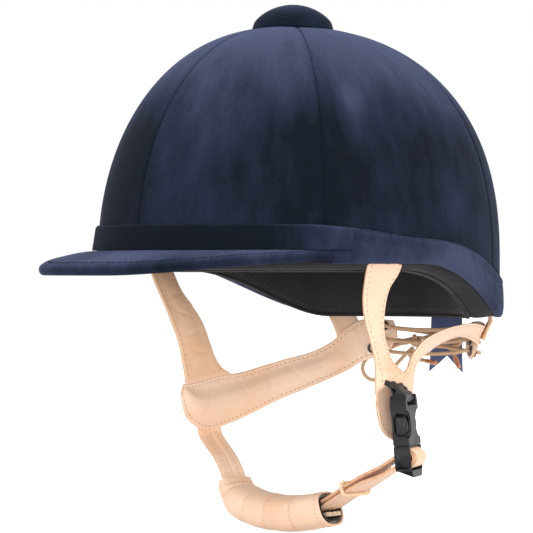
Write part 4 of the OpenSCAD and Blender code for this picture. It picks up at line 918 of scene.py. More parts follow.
def rim_profile(points, cut=0.25):
    """Closed profile smoothed by cutting its corners twice, by the given share of each side."""
    P = np.asarray(points, float)
    for _ in range(2):
        nxt = np.roll(P, -1, 0)
        P = np.stack([mix(P, nxt, cut), mix(nxt, P, cut)], 1).reshape(-1, 2)
    return P


def rim_sweep(profile, a, cut=0.25):
    """Profile of offset and height above the rim, carried along the rim at the given angles."""
    P = rim_profile(profile, cut)
    a = np.asarray(a, float)[:, None]
    return dome_z(a, rim_z(a) + P[None, :, 1], P[None, :, 0])


def back_profile(h):
    """Section of the rolled band of height h: up its face, and round the rim to the foam inside."""
    return [[0.3, h], [BAND_T - 0.6, h + 0.2], [BAND_T, 0.7 * h], [BAND_T + 0.2, 6], [BAND_T, 1.4],
            [BAND_T - 1.1, -0.7], [-0.8, -1.3], [SHELL_I + 0.5, -0.8], [SHELL_I, 0.3], [SHELL_I + 0.4, 1.6],
            [-1, 1.9], [0.3, 2.4]]


def band_back():
    """Velvet band rolled under the rim, with soft waves where it is pulled tight round the turn.

    Its section is worked out for the least and the greatest height and mixed for the heights between. A wave
    is a sine of the angle times a bell curve of the height. Under the peak's ends a short tuck of it goes on.
    """
    a = np.linspace(BAND_SPLIT, 360 - BAND_SPLIT, 330)
    h = band_top(a)[:, None]
    least, greatest = 12.0, 20.0
    low, high = (rim_sweep(back_profile(x), a) for x in (least, greatest))
    S = mix(low, high, ((h - least) / (greatest - least))[..., None])
    z = S[..., 2] - rim_z(a)[:, None]
    wave = (0.13 * np.sin(a * 0.9)[:, None] * bump(z - h * 0.55, 8)
            + 0.1 * np.sin(a * 2.3 + 1)[:, None] * bump(z - 3, 5))
    S = S + outward(a)[:, None] * (wave * (z > 2.5))[..., None]
    # Painted light on the band: lighter over the ears, and lighter on the roll at its foot and along its
    # upper edge, with a band of painted shade just below that edge.
    painted_light_over_ears = 0.42 * bump(from_front(a) - 97, 15) + 0.06 * np.sin(a / 5)
    rolled = 0.12 * bump(z + 0.3, 2.4) + 0.1 * bump(z - h, 1.2) - 0.12 * bump(z - h * 0.75, 3)
    solid("band_back_cloth", S, NAVY, stands_for=["band_back"], slot="velvet",
          marks={"nap_and_light": 0.53 + painted_light_over_ears[:, None] + rolled}, fold=70)
    for s, side in ((1, "left"), (-1, "right")):
        tuck = np.linspace(PEAK_A - 3.2, BAND_SPLIT + 0.5, 16) * s % 360
        P = np.array(back_profile(6.3))
        P[:5, 0] = np.minimum(P[:5, 0], BAND_T - 0.2)
        S = rim_sweep(P, tuck, 0.2)
        solid(f"band_tuck_{side}", S, NAVY, slot="velvet", fold=70,
              marks={"nap_and_light": np.full(S.shape[:-1], 0.54)})


band_front()
band_back()


def whip_stitches():
    """Slanting stitches that hold the band's upper edge down."""
    lines = []
    for lo, hi in ((66, 176), (184, 294)):
        a = np.linspace(lo, hi, 400)
        lines.append((dome_z(a, rim_z(a) + band_top(a) - 0.35, 1.32), outward(a, 0.8, 0.6)))
    stitches("band_whip_stitches", lines, THREAD_NAVY, pitch=1.9, share=0.5, d=0.5, sink=0.05, slant=0.7)


whip_stitches()


# Peak

def rim_pt(a, d):
    """Point of the rim's ellipse in plan, offset by d."""
    r = np.radians(a)
    return np.stack([(HALF_W + d) * np.sin(r), -(HALF_L + d) * np.cos(r)], -1)


def peak_edge(a, inset):
    """Point of the peak's edge in plan: an ellipse whose angle turns faster than that of the rim."""
    g = np.radians(a * PEAK_TURN / PEAK_A)
    return np.stack([(PEAK_HW - inset) * np.sin(g), -(HALF_L + PEAK_REACH - inset) * np.cos(g)], -1)


def peak_pt(a, root_d, inset, u, dz):
    """Point on the peak the share u of the way from its root to its edge, dz under the upper face.

    That face is a straight mix of the root's and the edge's heights, crowned by half a sine.
    """
    a, u, dz = together(a, u, dz)
    g = np.abs(a) * PEAK_TURN / PEAK_A
    edge_z = mix(PEAK_ROOT_Z - 1, PEAK_TIP_Z, ease((PEAK_TURN - g) / 55))
    w = mix(rim_pt(a, root_d), peak_edge(a, inset), u[..., None])
    p0, q0 = rim_pt(a, 0), peak_edge(a, 0)
    run = q0 - p0
    f = np.clip(((w - p0) * run).sum(-1) / (run * run).sum(-1), 0, 1)
    arch = 0.8 * np.minimum(1, np.linalg.norm(run, axis=-1) / 30) * np.sin(np.pi * f)
    z = mix(PEAK_ROOT_Z, edge_z, f) + arch - dz
    return np.concatenate([w, z[..., None]], -1)


PEAK_GAP = 0.5
PEAK_THICK = 2 * CLOTH_T + BOARD_T + 2 * PEAK_GAP
PEAK_END = PEAK_A - 0.9
PEAK_COLS = np.linspace(-PEAK_END, PEAK_END, 170)
# Rows of the cover's section: over the top, round the edge and back under it; the seam lies before the edge
TOP_ROWS, EDGE_ROWS, UNDER_ROWS = 26, 13, 7
SEAM_ROW = 22.6


def peak_run(a):
    """Length of the peak from its root to its edge."""
    return np.linalg.norm(peak_edge(a, 0) - rim_pt(a, 0), axis=-1)


def turn_u(a):
    """Share of the way out at which the turned-under velvet ends, 9 mm in from the edge."""
    return 1 - np.minimum(0.45, 9 / peak_run(a))


def peak_shell(a, grow):
    """Section of the cover: along the top, round the edge as half an ellipse, and back under it."""
    a = np.asarray(a, float)[:, None]
    top_u = np.linspace(0, 1, TOP_ROWS)[None]
    edge_t = np.linspace(0, np.pi, EDGE_ROWS + 2)[None, 1:-1]
    thick = PEAK_THICK - 2 * grow
    run = peak_run(a)
    pull = (2.2 + grow) * np.clip(run / 12, 0, 1)
    grow_in = grow * np.clip(run / 9, 0, 1)
    top = peak_pt(a, 0.05, pull, top_u, grow + 0 * top_u)
    round_in = pull - (pull - grow_in) * np.sin(edge_t)
    low = grow + thick * (1 - np.cos(edge_t)) / 2
    w = peak_edge(a, round_in + 0 * a)
    ref = peak_pt(a, 0.05, 0, np.ones_like(edge_t) + 0 * a, 0 * edge_t)
    edge = np.concatenate([w, (ref[..., 2] - low)[..., None]], -1)
    under_u = mix(1, turn_u(a), np.linspace(0, 1, UNDER_ROWS)[None])
    under = peak_pt(a, 0.05, pull, under_u, grow + thick + 0 * under_u)
    return np.concatenate([top, edge, under], 1)


def peak_cover():
    """Velvet over the peak, with a stitched groove along its edge and slight waves in the turn.

    The groove is a bell curve across the rows, and a wave a sine of the angle times one. Painted shade
    darkens the pile in the groove, round the edge and under it, and it is a little darker beyond the seam on
    its left half.
    """
    outer, inner = peak_shell(PEAK_COLS, 0.0), peak_shell(PEAK_COLS, CLOTH_T)
    a = PEAK_COLS[:, None]
    j = np.arange(outer.shape[1])[None]
    groove = 0.28 * bump(j - SEAM_ROW, 0.8)
    wave = 0.1 * np.sin(a / 1.9 + 2 * np.sin(a / 9)) * bump(j - TOP_ROWS - 1, 6)
    outer = outer - np.array([0, 0, 1]) * (groove - wave)[..., None]
    # Painted shade: darker in the stitched groove, round the edge and on the underside.
    dark = 0.28 * bump(j - TOP_ROWS - 7, 5) + 0.35 * bump(j - SEAM_ROW, 0.9) + 0.25 * (j > TOP_ROWS + 10)
    nap_and_light = 0.72 + 0.1 * np.sin(a / 6) - dark - 0.09 * ease((j - SEAM_ROW - 0.6) / 2) * ease((a + 4) / 14)
    S = np.concatenate([outer, inner[:, ::-1]], 1)
    solid("peak_cover_cloth", S, NAVY, stands_for=["peak_top_cover"], slot="velvet",
          marks={"nap_and_light": np.concatenate([nap_and_light, nap_and_light[:, ::-1]], 1)}, fold=70)
    P = mix(outer[:, int(SEAM_ROW)], outer[:, int(SEAM_ROW) + 1], SEAM_ROW % 1)
    up = np.tile([0, 0, 1.0], (len(P), 1))
    stitches("peak_stitches", [(P, up)], THREAD_NAVY, pitch=3.2, sink=-0.02)
    stitches("peak_under_stitches", [(outer[3:-3, -2], -up[3:-3])], THREAD_NAVY, pitch=3.2, d=0.5, sink=0.0)


peak_cover()


def peak_under():
    """Lining stretched over the board's underside, thicker by half a sine between its edges."""
    a = PEAK_COLS[2:-2][:, None]
    t = np.linspace(0, 1, 16)[None]
    top = PEAK_THICK - CLOTH_T
    at = lambda dz: peak_pt(a, SHELL_I, 0, (1 - t) * (turn_u(a) - 0.02), dz)
    upper = at(top + 0 * t)
    lower = at(top + CLOTH_T * (0.75 + 0.25 * np.sin(np.pi * t)))
    solid("peak_lining_cloth", np.concatenate([upper, lower[:, ::-1]], 1), UNDER_CLOTH,
          stands_for=["peak_under_cover"], slot="dark_velvet", fold=60)


peak_under()


# Button

def button_cover():
    """Domed velvet button, turned round an upright axis.

    Its radius goes by the cosine, and its height by the sine to the power 1.45, of the rise. The foot is
    gathered by 34 small folds and follows the dome's fall below it.
    """
    R, H, wall = 23.25, 12.5, 1.2
    rise = np.radians(np.concatenate([np.linspace(0, 12, 8), np.linspace(16, 89.7, 26)]))
    face = lambda t, r, h: np.stack([r * np.cos(t), h * np.sin(t) ** 1.45], 1)
    inner = face(rise[::-1], R - wall, H - wall) - [0, 0.02]
    foot = np.array([[R - 2.9, 0.0], [R - 2.9, -0.95], [R - wall, -1.0], [R - 0.15, -0.85]])
    P = np.vstack([inner[:-2], foot, face(rise, R, H)])
    t = turns_of(96)
    r, z = (np.repeat(P[:, k:k + 1], len(t), 1) for k in (0, 1))
    rim = r > R - 6
    gather = 0.16 * bump(z, 4.0) * rim * (0.5 + 0.5 * np.sin(34 * t + 2 * np.sin(3 * t)))
    flat = np.hypot(r * np.cos(t) / HALF_W, r * np.sin(t) / HALF_L)
    fall = CROWN_H * (1 - (1 - flat ** 2.25) ** (1 / 2.25)) * rim * ease((3 - z) / 3)
    r, z = r - gather, z - 0.8 * fall
    S = np.stack([r * np.cos(t), r * np.sin(t), z], -1) + [0, -CROWN_FWD, CROWN_H + 0.2]
    # Its pile is lighter towards the top: a painted highlight where the light from above falls.
    solid("button_velvet", S, NAVY_DARK, slot="dark_velvet", stands_for=["button_cover"], fold=60,
          marks={"nap_and_light": 0.26 + 0.25 * ease((z - 4) / 9) + 0.08 * np.sin(2 * t)})


button_cover()


# Inside of the hat

# Angle and depth of the headband's soft folds
FOLDS = ((28, 0.5), (63, 0.7), (98, 0.6), (131, 0.8), (164, 0.5), (196, 0.5), (229, 0.8), (262, 0.6),
         (297, 0.7), (332, 0.5))
ROUND = np.linspace(0, 360, 241)[:-1]


def headband():
    """Padded band: slightly domed between its piped lower edge and its upper edge, with a few soft folds.

    The swell is 5 mm times the sine of the height's share to the power 0.35, and each fold a bell curve of
    the angle times that sine.
    """
    a = ROUND
    edge = rim_z(a) - felt_low(a)
    e = LINER_TOP - LAYER_GAP
    t = np.linspace(0, 1, 26)[None]
    low = (edge - 0.1)[:, None]
    z = mix(low, 34.5, t)
    swell = 5.0 * np.sin(np.pi * np.clip(t * 1.02, 0, 1)) ** 0.35 + 0 * z
    crease = sum(bump(a - c, 1.3) * depth for c, depth in FOLDS)
    swell = swell - crease[:, None] * np.sin(np.pi * t) - 0.12 * np.sin(a[:, None] / 2.2) * np.sin(np.pi * t)
    inner = dome_z(a[:, None], z, HEADBAND_O - np.clip(swell, 0.8, 5.25), e)
    back_z = mix(34.2, low + 0.1, np.linspace(0, 1, 12)[None])
    back = dome_z(a[:, None], back_z, HEADBAND_O - 0.02, e * ease(back_z / STRAIGHT_TO))
    band = solid("headband_padded", np.concatenate([inner, back], 1), BLACK_CLOTH, ring=True,
                 stands_for=["headband"], slot="black_cloth", fold=60)
    pipe = dome_z(a, edge + 0.35, HEADBAND_O - 1.6, HEADBAND_O)
    T = unit(np.roll(pipe, -1, 0) - np.roll(pipe, 1, 0))
    N = np.tile([0, 0, 1.0], (len(a), 1))
    N = unit(N - dot(N, T) * T)
    solid("headband_piping", round_sections(pipe, N, np.cross(T, N), 0.95, 0.95, 10), PIPING, ring=True,
          slot="black_cloth", fold=80)
    i = np.arange(len(a) + 1) % len(a)
    line = dome_z(a, edge + 4.2, HEADBAND_O - 4.4, e)
    stitches("headband_stitches", [(line[i], -outward(a)[i])], THREAD_GREY, share=0.6, d=0.5, sink=0.1)


headband()


def rim_felt():
    """Soft felt roll between the velvet's turned edge and the headband.

    Its section is worked out for the greatest and the least depth and mixed for the depths between. Its edge
    wobbles by two sines of the angle.
    """
    a = ROUND
    i, o = LINER_I + 0.3, SHELL_I - 0.35
    deep, shallow = (rim_sweep([[o, 0.55], [i, 0.55], [i, -0.72 * f], [-14.2, -0.92 * f], [-10.4, -0.78 * f],
                                [-6.4, -0.38 * f], [o, -0.1 * f]], a, 0.12) for f in (FELT_FRONT, FELT_BACK))
    S = mix(shallow, deep, ((felt_low(a) - FELT_BACK) / (FELT_FRONT - FELT_BACK))[:, None, None])
    wobble = 0.12 * np.sin(a * 1.3)[:, None] + 0.08 * np.sin(a * 3.1)[:, None]
    z = S[..., 2] - rim_z(a)[:, None]
    S[..., 2] += np.where(z < -1, wobble, 0)
    solid("rim_felt_roll", S, FELT, ring=True, stands_for=["rim_felt"], slot="felt", fold=70)


rim_felt()


def lining_shell(name, node, d, e, thick, low_v, slot, sink=0.0):
    """Bowl of cloth under the crown, from the inner pole down and back up to the outer one.

    A cushion's inner face sinks below its place by a smooth step of the rise, quilted by sines.
    """
    a = np.linspace(0, 360, 145)[:-1]
    v = np.linspace(low_v, 89.6, 30)
    quilt = 0.25 * np.sin(np.radians(a) * 12)[None] * np.sin(np.radians(v) * 2)[:, None]
    outer = dome_v(a[None], v[:, None], d, e)
    inner = dome_v(a[None], v[::-1][:, None], d - thick, e - thick)
    fall = sink * ease((v[::-1] - low_v) / (90 - low_v) * 2.5)
    inner[..., 2] -= fall[:, None] + 0.6 * quilt[::-1] * (sink > 0)
    return solid(name, np.concatenate([inner, outer]), BLACK_CLOTH, slot=slot, stands_for=[node], fold=60)


lining_shell("crown_lining_cloth", "crown_lining", HEADBAND_O, LINER_TOP - LAYER_GAP, thick=0.8, low_v=19.5,
             slot="black_cloth")
lining_shell("crown_pad_cushion", "crown_pad", HEADBAND_O - 1.0, LINER_TOP - LAYER_GAP - 1.0,
                       thick=0.7, low_v=60, slot="foam_pad", sink=4.3)


# Harness leather

# Rows across each piece, on the left side (1) and the right side (-1): y and z of one edge and of the other,
# how far the second edge leans in, and the share of padding
STRAP_ROWS = {
    1: [[-41, 27, -18, 27, 0, 0], [-42, 12, -18, 12, 0, 0], [-42, 0, -19, 0, 0, 0],
        [-41, -10, -18, -7, 0, 0.6], [-40, -20, -21, -15, 0, 1], [-36, -32, -21, -31, 0, 1],
        [-30, -44, -18, -43, 0, 1], [-25.5, -56, -11.5, -54, 0, 0.6], [-25, -66, -6, -59.5, 0, 0.2],
        [-24.4, -76, -0.5, -64.5, 0, 0]],
    -1: [[-40, 27, -17, 27, 0, 0], [-39, 12, -17, 12, 0, 0], [-38, 0, -18, 0, 0, 0],
         [-36, -12, -16, -16, 0, 0.6], [-32, -23, -9, -26, 0, 1], [-27, -36, -2, -36, 0, 1],
         [-22, -49, 4, -50, 0, 1], [-19.5, -60, 7.2, -57, 0, 0.6], [-18.2, -67, 12, -63, 0, 0.3],
         [-17.4, -72, 19, -67, 0, 0], [-17, -75, 23, -70.5, 0, 0]]}
JAW_ROWS = {
    1: [[-23, -70, -24, -79, 0, 0], [-16, -66, -20, -91, 0, 1], [-9, -64, -12, -97, 0, 1],
        [-3, -61.5, -2, -99, 0, 1], [1, -58, 4, -92, 0, 1], [3, -54, 5, -72, 0, 1], [6, -49.5, 9, -60, 2, 1],
        [14, -43.5, 19, -54, 6, 1], [30, -38.5, 35, -51, 12, 1], [48, -36, 52, -47, 15, 1],
        [66, -35.5, 70, -43.5, 11, 0.9], [82, -37, 86, -46, 5, 0.4], [94, -37, 97, -50, 0, 0],
        [103, -36, 104, -57.5, 0, 0], [109, -35.5, 109, -55, 0, 0], [114, -36, 113, -46, 0, 0]],
    -1: [[-19, -72, -21, -79, 0, 0], [-12, -71.5, -18, -90, 0, 1], [-5, -70.5, -10, -97, 0, 1],
         [3, -69, 0, -100, 0, 1], [12, -67.5, 17, -97, 0, 1], [26, -66.5, 35, -91, 0, 1],
         [42, -63, 52, -84, 0, 1], [58, -59, 68, -78, 0, 1], [74, -55, 82, -72, 0, 0.8],
         [86, -49, 92, -66.5, 0, 0.4], [95, -41, 99, -61, 0, 0], [103, -36, 105, -58, 0, 0],
         [109, -35.5, 109, -55, 0, 0], [114, -36, 113, -46, 0, 0]]}
LEATHER_T, JAW_PAD, STRAP_PAD, MARGIN = 2.0, 2.6, 0.8, 0.15
# Place, slant and depth of the creases across a piece
CREASES = ((0.14, 9, 0.3), (0.31, -7, 0.25), (0.43, 5, 0.35), (0.56, -9, 0.4), (0.68, 6, 0.35),
           (0.79, -5, 0.3))


def on_row(R, u):
    """The y and z at the share u of the way across each row."""
    return mix(R[..., 0], R[..., 2], u), mix(R[..., 1], R[..., 3], u)


def leather_pt(s, R, u, off):
    """Point of a leather piece: across from one edge of its row to the other, and off along the normal."""
    y, z = on_row(R, u)
    return side_pt(s, y, z, -R[..., 4] * u) + side_normal(s, y, z) * np.asarray(off)[..., None]


def row_widths(s, R):
    """Distance from edge to edge of each row, 2 mm at the least."""
    one, two = (leather_pt(s, R, np.full(len(R), u), np.zeros(len(R))) for u in (0.0, 1.0))
    return np.maximum(np.linalg.norm(two - one, axis=1), 2.0)


def over_webbing(y, z):
    """How far the near strap's end rises, in millimetres, where it is sewn down over the buckle's webbing."""
    across = ease((y + 25) / 3) * ease((-3 - y) / 4)
    return 3.1 * across * ease((-56 - z) / 5.5) * ease((z + 71) / 4)


def two_faced(cols, inside=2):
    """Finish of each column of a flat piece: its face, one edge, its back, and the other edge."""
    return [0] * (cols - 1) + [1] + [inside] * (cols - 1) + [1]


def leather_piece(name, s, rows, pad, stands_for, n, cols, lift=None):
    """Two layers of leather with padding between them, rounded at the edge and drawn in along its stitching.

    The edge falls as an exponential of the distance to it and the stitching's groove is a bell curve of it.
    The padding swells by a smooth step across, and its gathers and creases are sines and bell curves along.
    """
    sew = 2.3
    R = smooth_rows(rows, n)
    R[:, 5] = np.clip(R[:, 5], 0, 1)
    R[:, 4] = np.maximum(R[:, 4], 0)
    w = row_widths(s, R)[:, None]
    u = (1 - np.cos(np.linspace(0, np.pi, cols))) / 2
    u = mix(np.linspace(0, 1, cols), u, 0.55)[None]
    R3 = R[:, None]
    edge = np.minimum(u, 1 - u) * w
    fall = 0.55 * np.exp(-edge / 0.45)
    groove = 0.22 * bump(edge - sew, 0.55)
    along = travelled(R[:, :2])[:, None]
    gather = 0.14 * np.sin(along * 2 * np.pi / 6.1 + 1.5 * np.sin(along / 9)) * bump(edge - sew - 1.4, 1.6)
    swell = ease((np.minimum(u, 1 - u) - MARGIN) / 0.3)
    crease = sum(bump(along - along[-1] * f + (u - 0.5) * slant, 1.3) * deep for f, slant, deep in CREASES)
    puff = R3[..., 5] * swell
    thick_pad = pad > 1
    fall = fall + 0.45 * ease((along - along[-1] + 5) / 3) * (not thick_pad)
    up = lift(*on_row(R3, u)) if lift else 0
    u = u + 0 * w
    outer = leather_pt(s, R3, u, up - fall - groove * 0.6 + 0.15 * puff - 0.3 * crease * (puff > 0.3) - 0.05)
    inner = leather_pt(s, R3, u, -LEATHER_T + fall + groove - gather * 0.6 - pad * puff + crease * puff)
    S = np.concatenate([outer, inner[:, ::-1]], 1)
    # The back is a copy of the leather painted lighter, or warmer on the thin straps, as light for its shaded
    # faces.
    made = solid(name, S, [LEATHER, LEATHER_EDGE, LEATHER_PAINTED_LIGHTER if thick_pad else LEATHER_PAINTED_BOUNCE],
                 stands_for=stands_for, slot="leather", faces_of=two_faced(cols), cap_look=1, fold=50)
    return R


def on_leather(s, Q, u, face, let_in, lift):
    """Line at the shares u of rows Q on the face or the back, let into the leather, and its normals."""
    y, z = on_row(Q, u)
    up = lift(y, z) if lift and face > 0 else 0
    off = up - let_in if face > 0 else let_in - LEATHER_T
    return leather_pt(s, Q, u, off + 0 * u), side_normal(s, y, z) * face


def harness_side(s, side):
    """Front strap and jaw piece of one side, with their stitching along and across both faces."""
    lift = over_webbing if s > 0 else None
    strap = leather_piece(f"front_strap_{side}_leather", s, STRAP_ROWS[s], STRAP_PAD, [f"front_strap_{side}"],
                          110, 25, lift)
    jaw = leather_piece(f"jaw_piece_{side}_leather", s, JAW_ROWS[s], JAW_PAD,
                        [f"jaw_piece_{side}", f"jaw_foam_{side}"], 190, 33)
    lines = []
    for face in (1, -1):
        for edge in (0, 1):
            for R, sew, first, last, over in ((strap, 2.2, 0.12, 0.93, lift), (jaw, 2.4, 0.02, 0.985, None)):
                i = slice(int(first * (len(R) - 1)), int(last * (len(R) - 1)) + 1)
                u = np.clip(sew / row_widths(s, R), 0, 0.45)[i]
                lines.append(on_leather(s, R[i], 1 - u if edge else u, face, 0.2 if face > 0 else 0.25, over))
        for R, row in ((strap, -9), (jaw, -8), (jaw, -22)):
            u = np.linspace(0.1, 0.9, 30)
            across = np.repeat(R[row][None], len(u), 0)
            lines.append(on_leather(s, across, u, face, 0.15 if face > 0 else 0.2, lift))
    stitches(f"harness_stitches_{side}", lines, THREAD, pitch=3.1, share=0.62, d=0.52, sink=0.02,
             slot="leather")


harness_side(1, "left")
harness_side(-1, "right")


HANGER_FROM, HANGER_TO = 90.0, 102.0


def nape_hanger(s, side):
    """Leather tab from the shell over the outside of the jaw piece, with a stitched border.

    It lies a leather's thickness out from the jaw piece by a smooth step below the rim.
    """
    rows, cols = 60, 17
    u = np.linspace(0, 1, cols)[None]
    y, z = together(mix(HANGER_FROM, HANGER_TO, u), np.linspace(-5, -45, rows)[:, None])
    N = side_normal(s, y, z)

    def at(lift):
        off = (LEATHER_T + 0.3) * ease((rim_beside(y) - z) / 3) + lift
        return side_pt(s, y, z) + N * off[..., None]

    edge = 0.4 * np.exp(-np.minimum(u, 1 - u) * (HANGER_TO - HANGER_FROM) / 0.5)
    S = np.concatenate([at(-edge - 0.02), at(-LEATHER_T + 0.1 + edge)[:, ::-1]], 1)
    # Its back is the leather painted lighter, as light for the shaded face.
    solid(f"nape_hanger_{side}_leather", S, [LEATHER, LEATHER_EDGE, LEATHER_PAINTED_LIGHTER], slot="leather",
          faces_of=two_faced(cols), cap_look=1, stands_for=[f"nape_hanger_{side}"], fold=50)
    G = at(0.0)
    first, last, inset = 30, rows - 3, 3
    border = [(slice(first, last + 1), inset), (slice(first, last + 1), cols - 1 - inset),
              (last, slice(inset, cols - inset))]
    stitches(f"hanger_stitches_{side}", [(G[i], N[i]) for i in border], THREAD, share=0.62, d=0.5, sink=0.0,
             slot="leather")


nape_hanger(1, "left")
nape_hanger(-1, "right")


# Chin strap, cup and buckle

BUCKLE_TURN, BUCKLE_FLARE = np.radians(-65), np.radians(5)
BUCKLE_POS = np.array([92.1, -13.3, -99.4])
BUCKLE_ACROSS = np.array([-np.cos(BUCKLE_TURN), -np.sin(BUCKLE_TURN), 0.0])


def in_buckle(x, y, z):
    """Point given in the buckle's own frame: x along its width, y outwards and z up its axis.

    It is leant back by the flare about the x axis, and then turned about the upright.
    """
    c, s = np.cos(BUCKLE_FLARE), np.sin(BUCKLE_FLARE)
    q = np.array([x, y * c - z * s, y * s + z * c])
    c, s = np.cos(BUCKLE_TURN), np.sin(BUCKLE_TURN)
    return BUCKLE_POS + np.stack([q[0] * c - q[1] * s, q[0] * s + q[1] * c, q[2]], -1)


def round_bar(y, z, r, degrees, bulge=0.0):
    """Points round a bar of the buckle, at the angles, further out on its outer side where bulge is given."""
    for a in np.radians(degrees):
        yield in_buckle(0, y + (r[0] + bulge * max(np.cos(a), 0)) * np.cos(a), z + r[1] * np.sin(a))


BUCKLE_OUT, BUCKLE_UP = in_buckle(0, 1, 0) - BUCKLE_POS, in_buckle(0, 0, 1) - BUCKLE_POS
CUP_ACROSS = np.array([[0.12, 1.0, 0.0]])


def strap_across_at(P):
    """Which way the strap lies flat: across the cup, and from x 58 to 82 turning to lie across the buckle."""
    return mix(CUP_ACROSS, BUCKLE_ACROSS[None], ease((P[:, :1] - 58) / 24))


def strap_frames(P, across):
    """Directions across a strap and out of its face."""
    T = unit(np.gradient(P, axis=0))
    A = unit(across - dot(across, T) * T)
    return A, np.cross(T, A)


def flat_strap(name, P, across, w, t, looks, shape, cols=21, **more):
    """Flat strap of width w and thickness t along a path, thinner by an exponential towards its edges.

    shape adds a height on its two faces by the way along it and the share of its width.
    """
    A, N = strap_frames(P, across)
    q = np.linspace(-1, 1, cols)[None]
    edge = (1 - np.abs(q)) * w / 2
    thick = t / 2 - 0.42 * t / 2 * np.exp(-edge / 0.35)
    extra = shape(travelled(P)[:, None], q)
    place = P[:, None] + A[:, None] * (q * w / 2)[..., None]
    top = place + N[:, None] * (thick + extra)[..., None]
    low = place - N[:, None] * (thick + extra * 0.4)[..., None]
    return solid(name, np.concatenate([top, low[:, ::-1]], 1), looks, faces_of=two_faced(cols, 0), cap_look=1,
                 fold=50, **more)


STRAP_W, STRAP_T = 17.0, 1.8
STRAP_PTS = [[-81.6, 4, -88], [-81.6, 4, -97], [-80.8, 4, -102], [-77, 4.5, -107.5], [-72, 5, -112.5],
             [-67, 5, -118], [-63, 4.8, -123.5], [-60, 4.5, -129], [-55.5, 4, -135], [-45, 2.5, -140.5],
             [-24, 0, -143.5], [0, -3.5, -143.5], [11.6, -5.4, -142.1]]
BAR_Y, BAR_Z, BAR_D = 1.9, -6.8, 3.6
WRAP_R = BAR_D / 2 + STRAP_T / 2 + 0.25
LOOP_PTS = [[12, -5.5, -142], [30, -8, -137.5], [40, -9.3, -132.6], [51, -10.8, -127.3], [62, -12, -122.2],
            [73, -13, -117.6], [82, -14.3, -114], in_buckle(0, -5, -11.6),
            *round_bar(BAR_Y, BAR_Z, (WRAP_R, 4.7), np.arange(-75, 106, 18), bulge=1.7),
            in_buckle(0, -5, -5.8), [82, -14.2, -108.6], [73, -13, -113], [62, -12, -118.7],
            [51, -10.8, -124.2], [40, -9.3, -129.8], [30, -8, -134.4], [14, -5.5, -138.4]]


def strap_stitches(name, P, offsets, first=0, last=None):
    """Stitches along both faces of the strap, at the given offsets from its middle."""
    A, N = strap_frames(P, strap_across_at(P))
    i = slice(first, last)
    lines = [((P + A * x + N * f * (STRAP_T / 2 - 0.02))[i], (N * f)[i]) for x in offsets for f in (1, -1)]
    return stitches(name, lines, THREAD, share=0.62, d=0.5, sink=0.02, slot="leather")


def chin_straps():
    """Single far strap with a fold along its middle, and the near strap that goes round the buckle's bar.

    The fold and the creases are bell curves of the share of the width. The near strap is thicker by another
    one of the way along where it turns round the bar, and it and its stitches are loosed from the hat and
    kept where they lie.
    """
    P = evenly(smooth_path(STRAP_PTS, 8), 1.4)
    # The far strap is the leather painted lighter, as light for its shaded faces.
    flat_strap("chin_strap_leather", P, strap_across_at(P), STRAP_W, STRAP_T, [LEATHER_PAINTED_LIGHTER, LEATHER_EDGE],
               lambda s, q: -0.5 * bump(q, 0.055) + 0.18 * bump(np.abs(q) - 0.3, 0.2) + 0 * s,
               stands_for=["chin_strap"], slot="leather")
    strap_stitches("chin_strap_stitches", P, (-3.8, 3.8), last=56)
    Q = evenly(smooth_path(LOOP_PTS, 6), 1.2)
    turn = travelled(Q)[np.argmax((Q - BUCKLE_POS) @ BUCKLE_OUT)]

    def creased(s, q):
        creases = (0.2 * bump(q + 0.3 + 0.08 * np.sin(s / 9), 0.05)
                   + 0.16 * bump(q - 0.34 - 0.05 * np.sin(s / 7), 0.04) + 0.12 * bump(np.abs(q) - 0.8, 0.05))
        return 1.2 * bump(s - turn, 6) - creases

    loop = flat_strap("chin_strap_loop_leather", Q, strap_across_at(Q), STRAP_W, STRAP_T,
                      [LEATHER, LEATHER_EDGE], creased, stands_for=["chin_strap_loop"], slot="leather")
    sewn = strap_stitches("chin_loop_stitches", Q, (-6.6, 6.6), first=8)
    for made in (loop, sewn):
        made.parent = None
        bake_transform(made)


chin_straps()


CUP_PTS = [[-60.5, 4.6, -128.6], [-57.5, 4.2, -134.8], [-50, 3, -140.2], [-38, 1.5, -143.3], [-24, 0, -144.6],
           [-10, -2, -144.5], [4, -4, -143.2], [17, -6, -141], [29.5, -7.6, -138.6]]
# Half width and half height of the cup, and its share of them at each of the points
CUP_HW, CUP_HH = 13.2, 10.3
CUP_W = [0.84, 0.9, 0.97, 1, 1, 1, 1, 1, 1]
CUP_H = [0.5, 0.74, 0.92, 0.99, 1, 1, 1, 0.99, 0.98]
CUP_PATH = smooth_path(CUP_PTS, 10)
CUP_ALONG = travelled(CUP_PATH) / travelled(CUP_PATH)[-1]
CUP_COLS = 56
# Shares of the cup's length at which it is sewn through, and at which its ends are stitched
CHANNELS, CUP_HEMS = (0.1, 0.305, 0.51, 0.745), (0.035, 0.955)


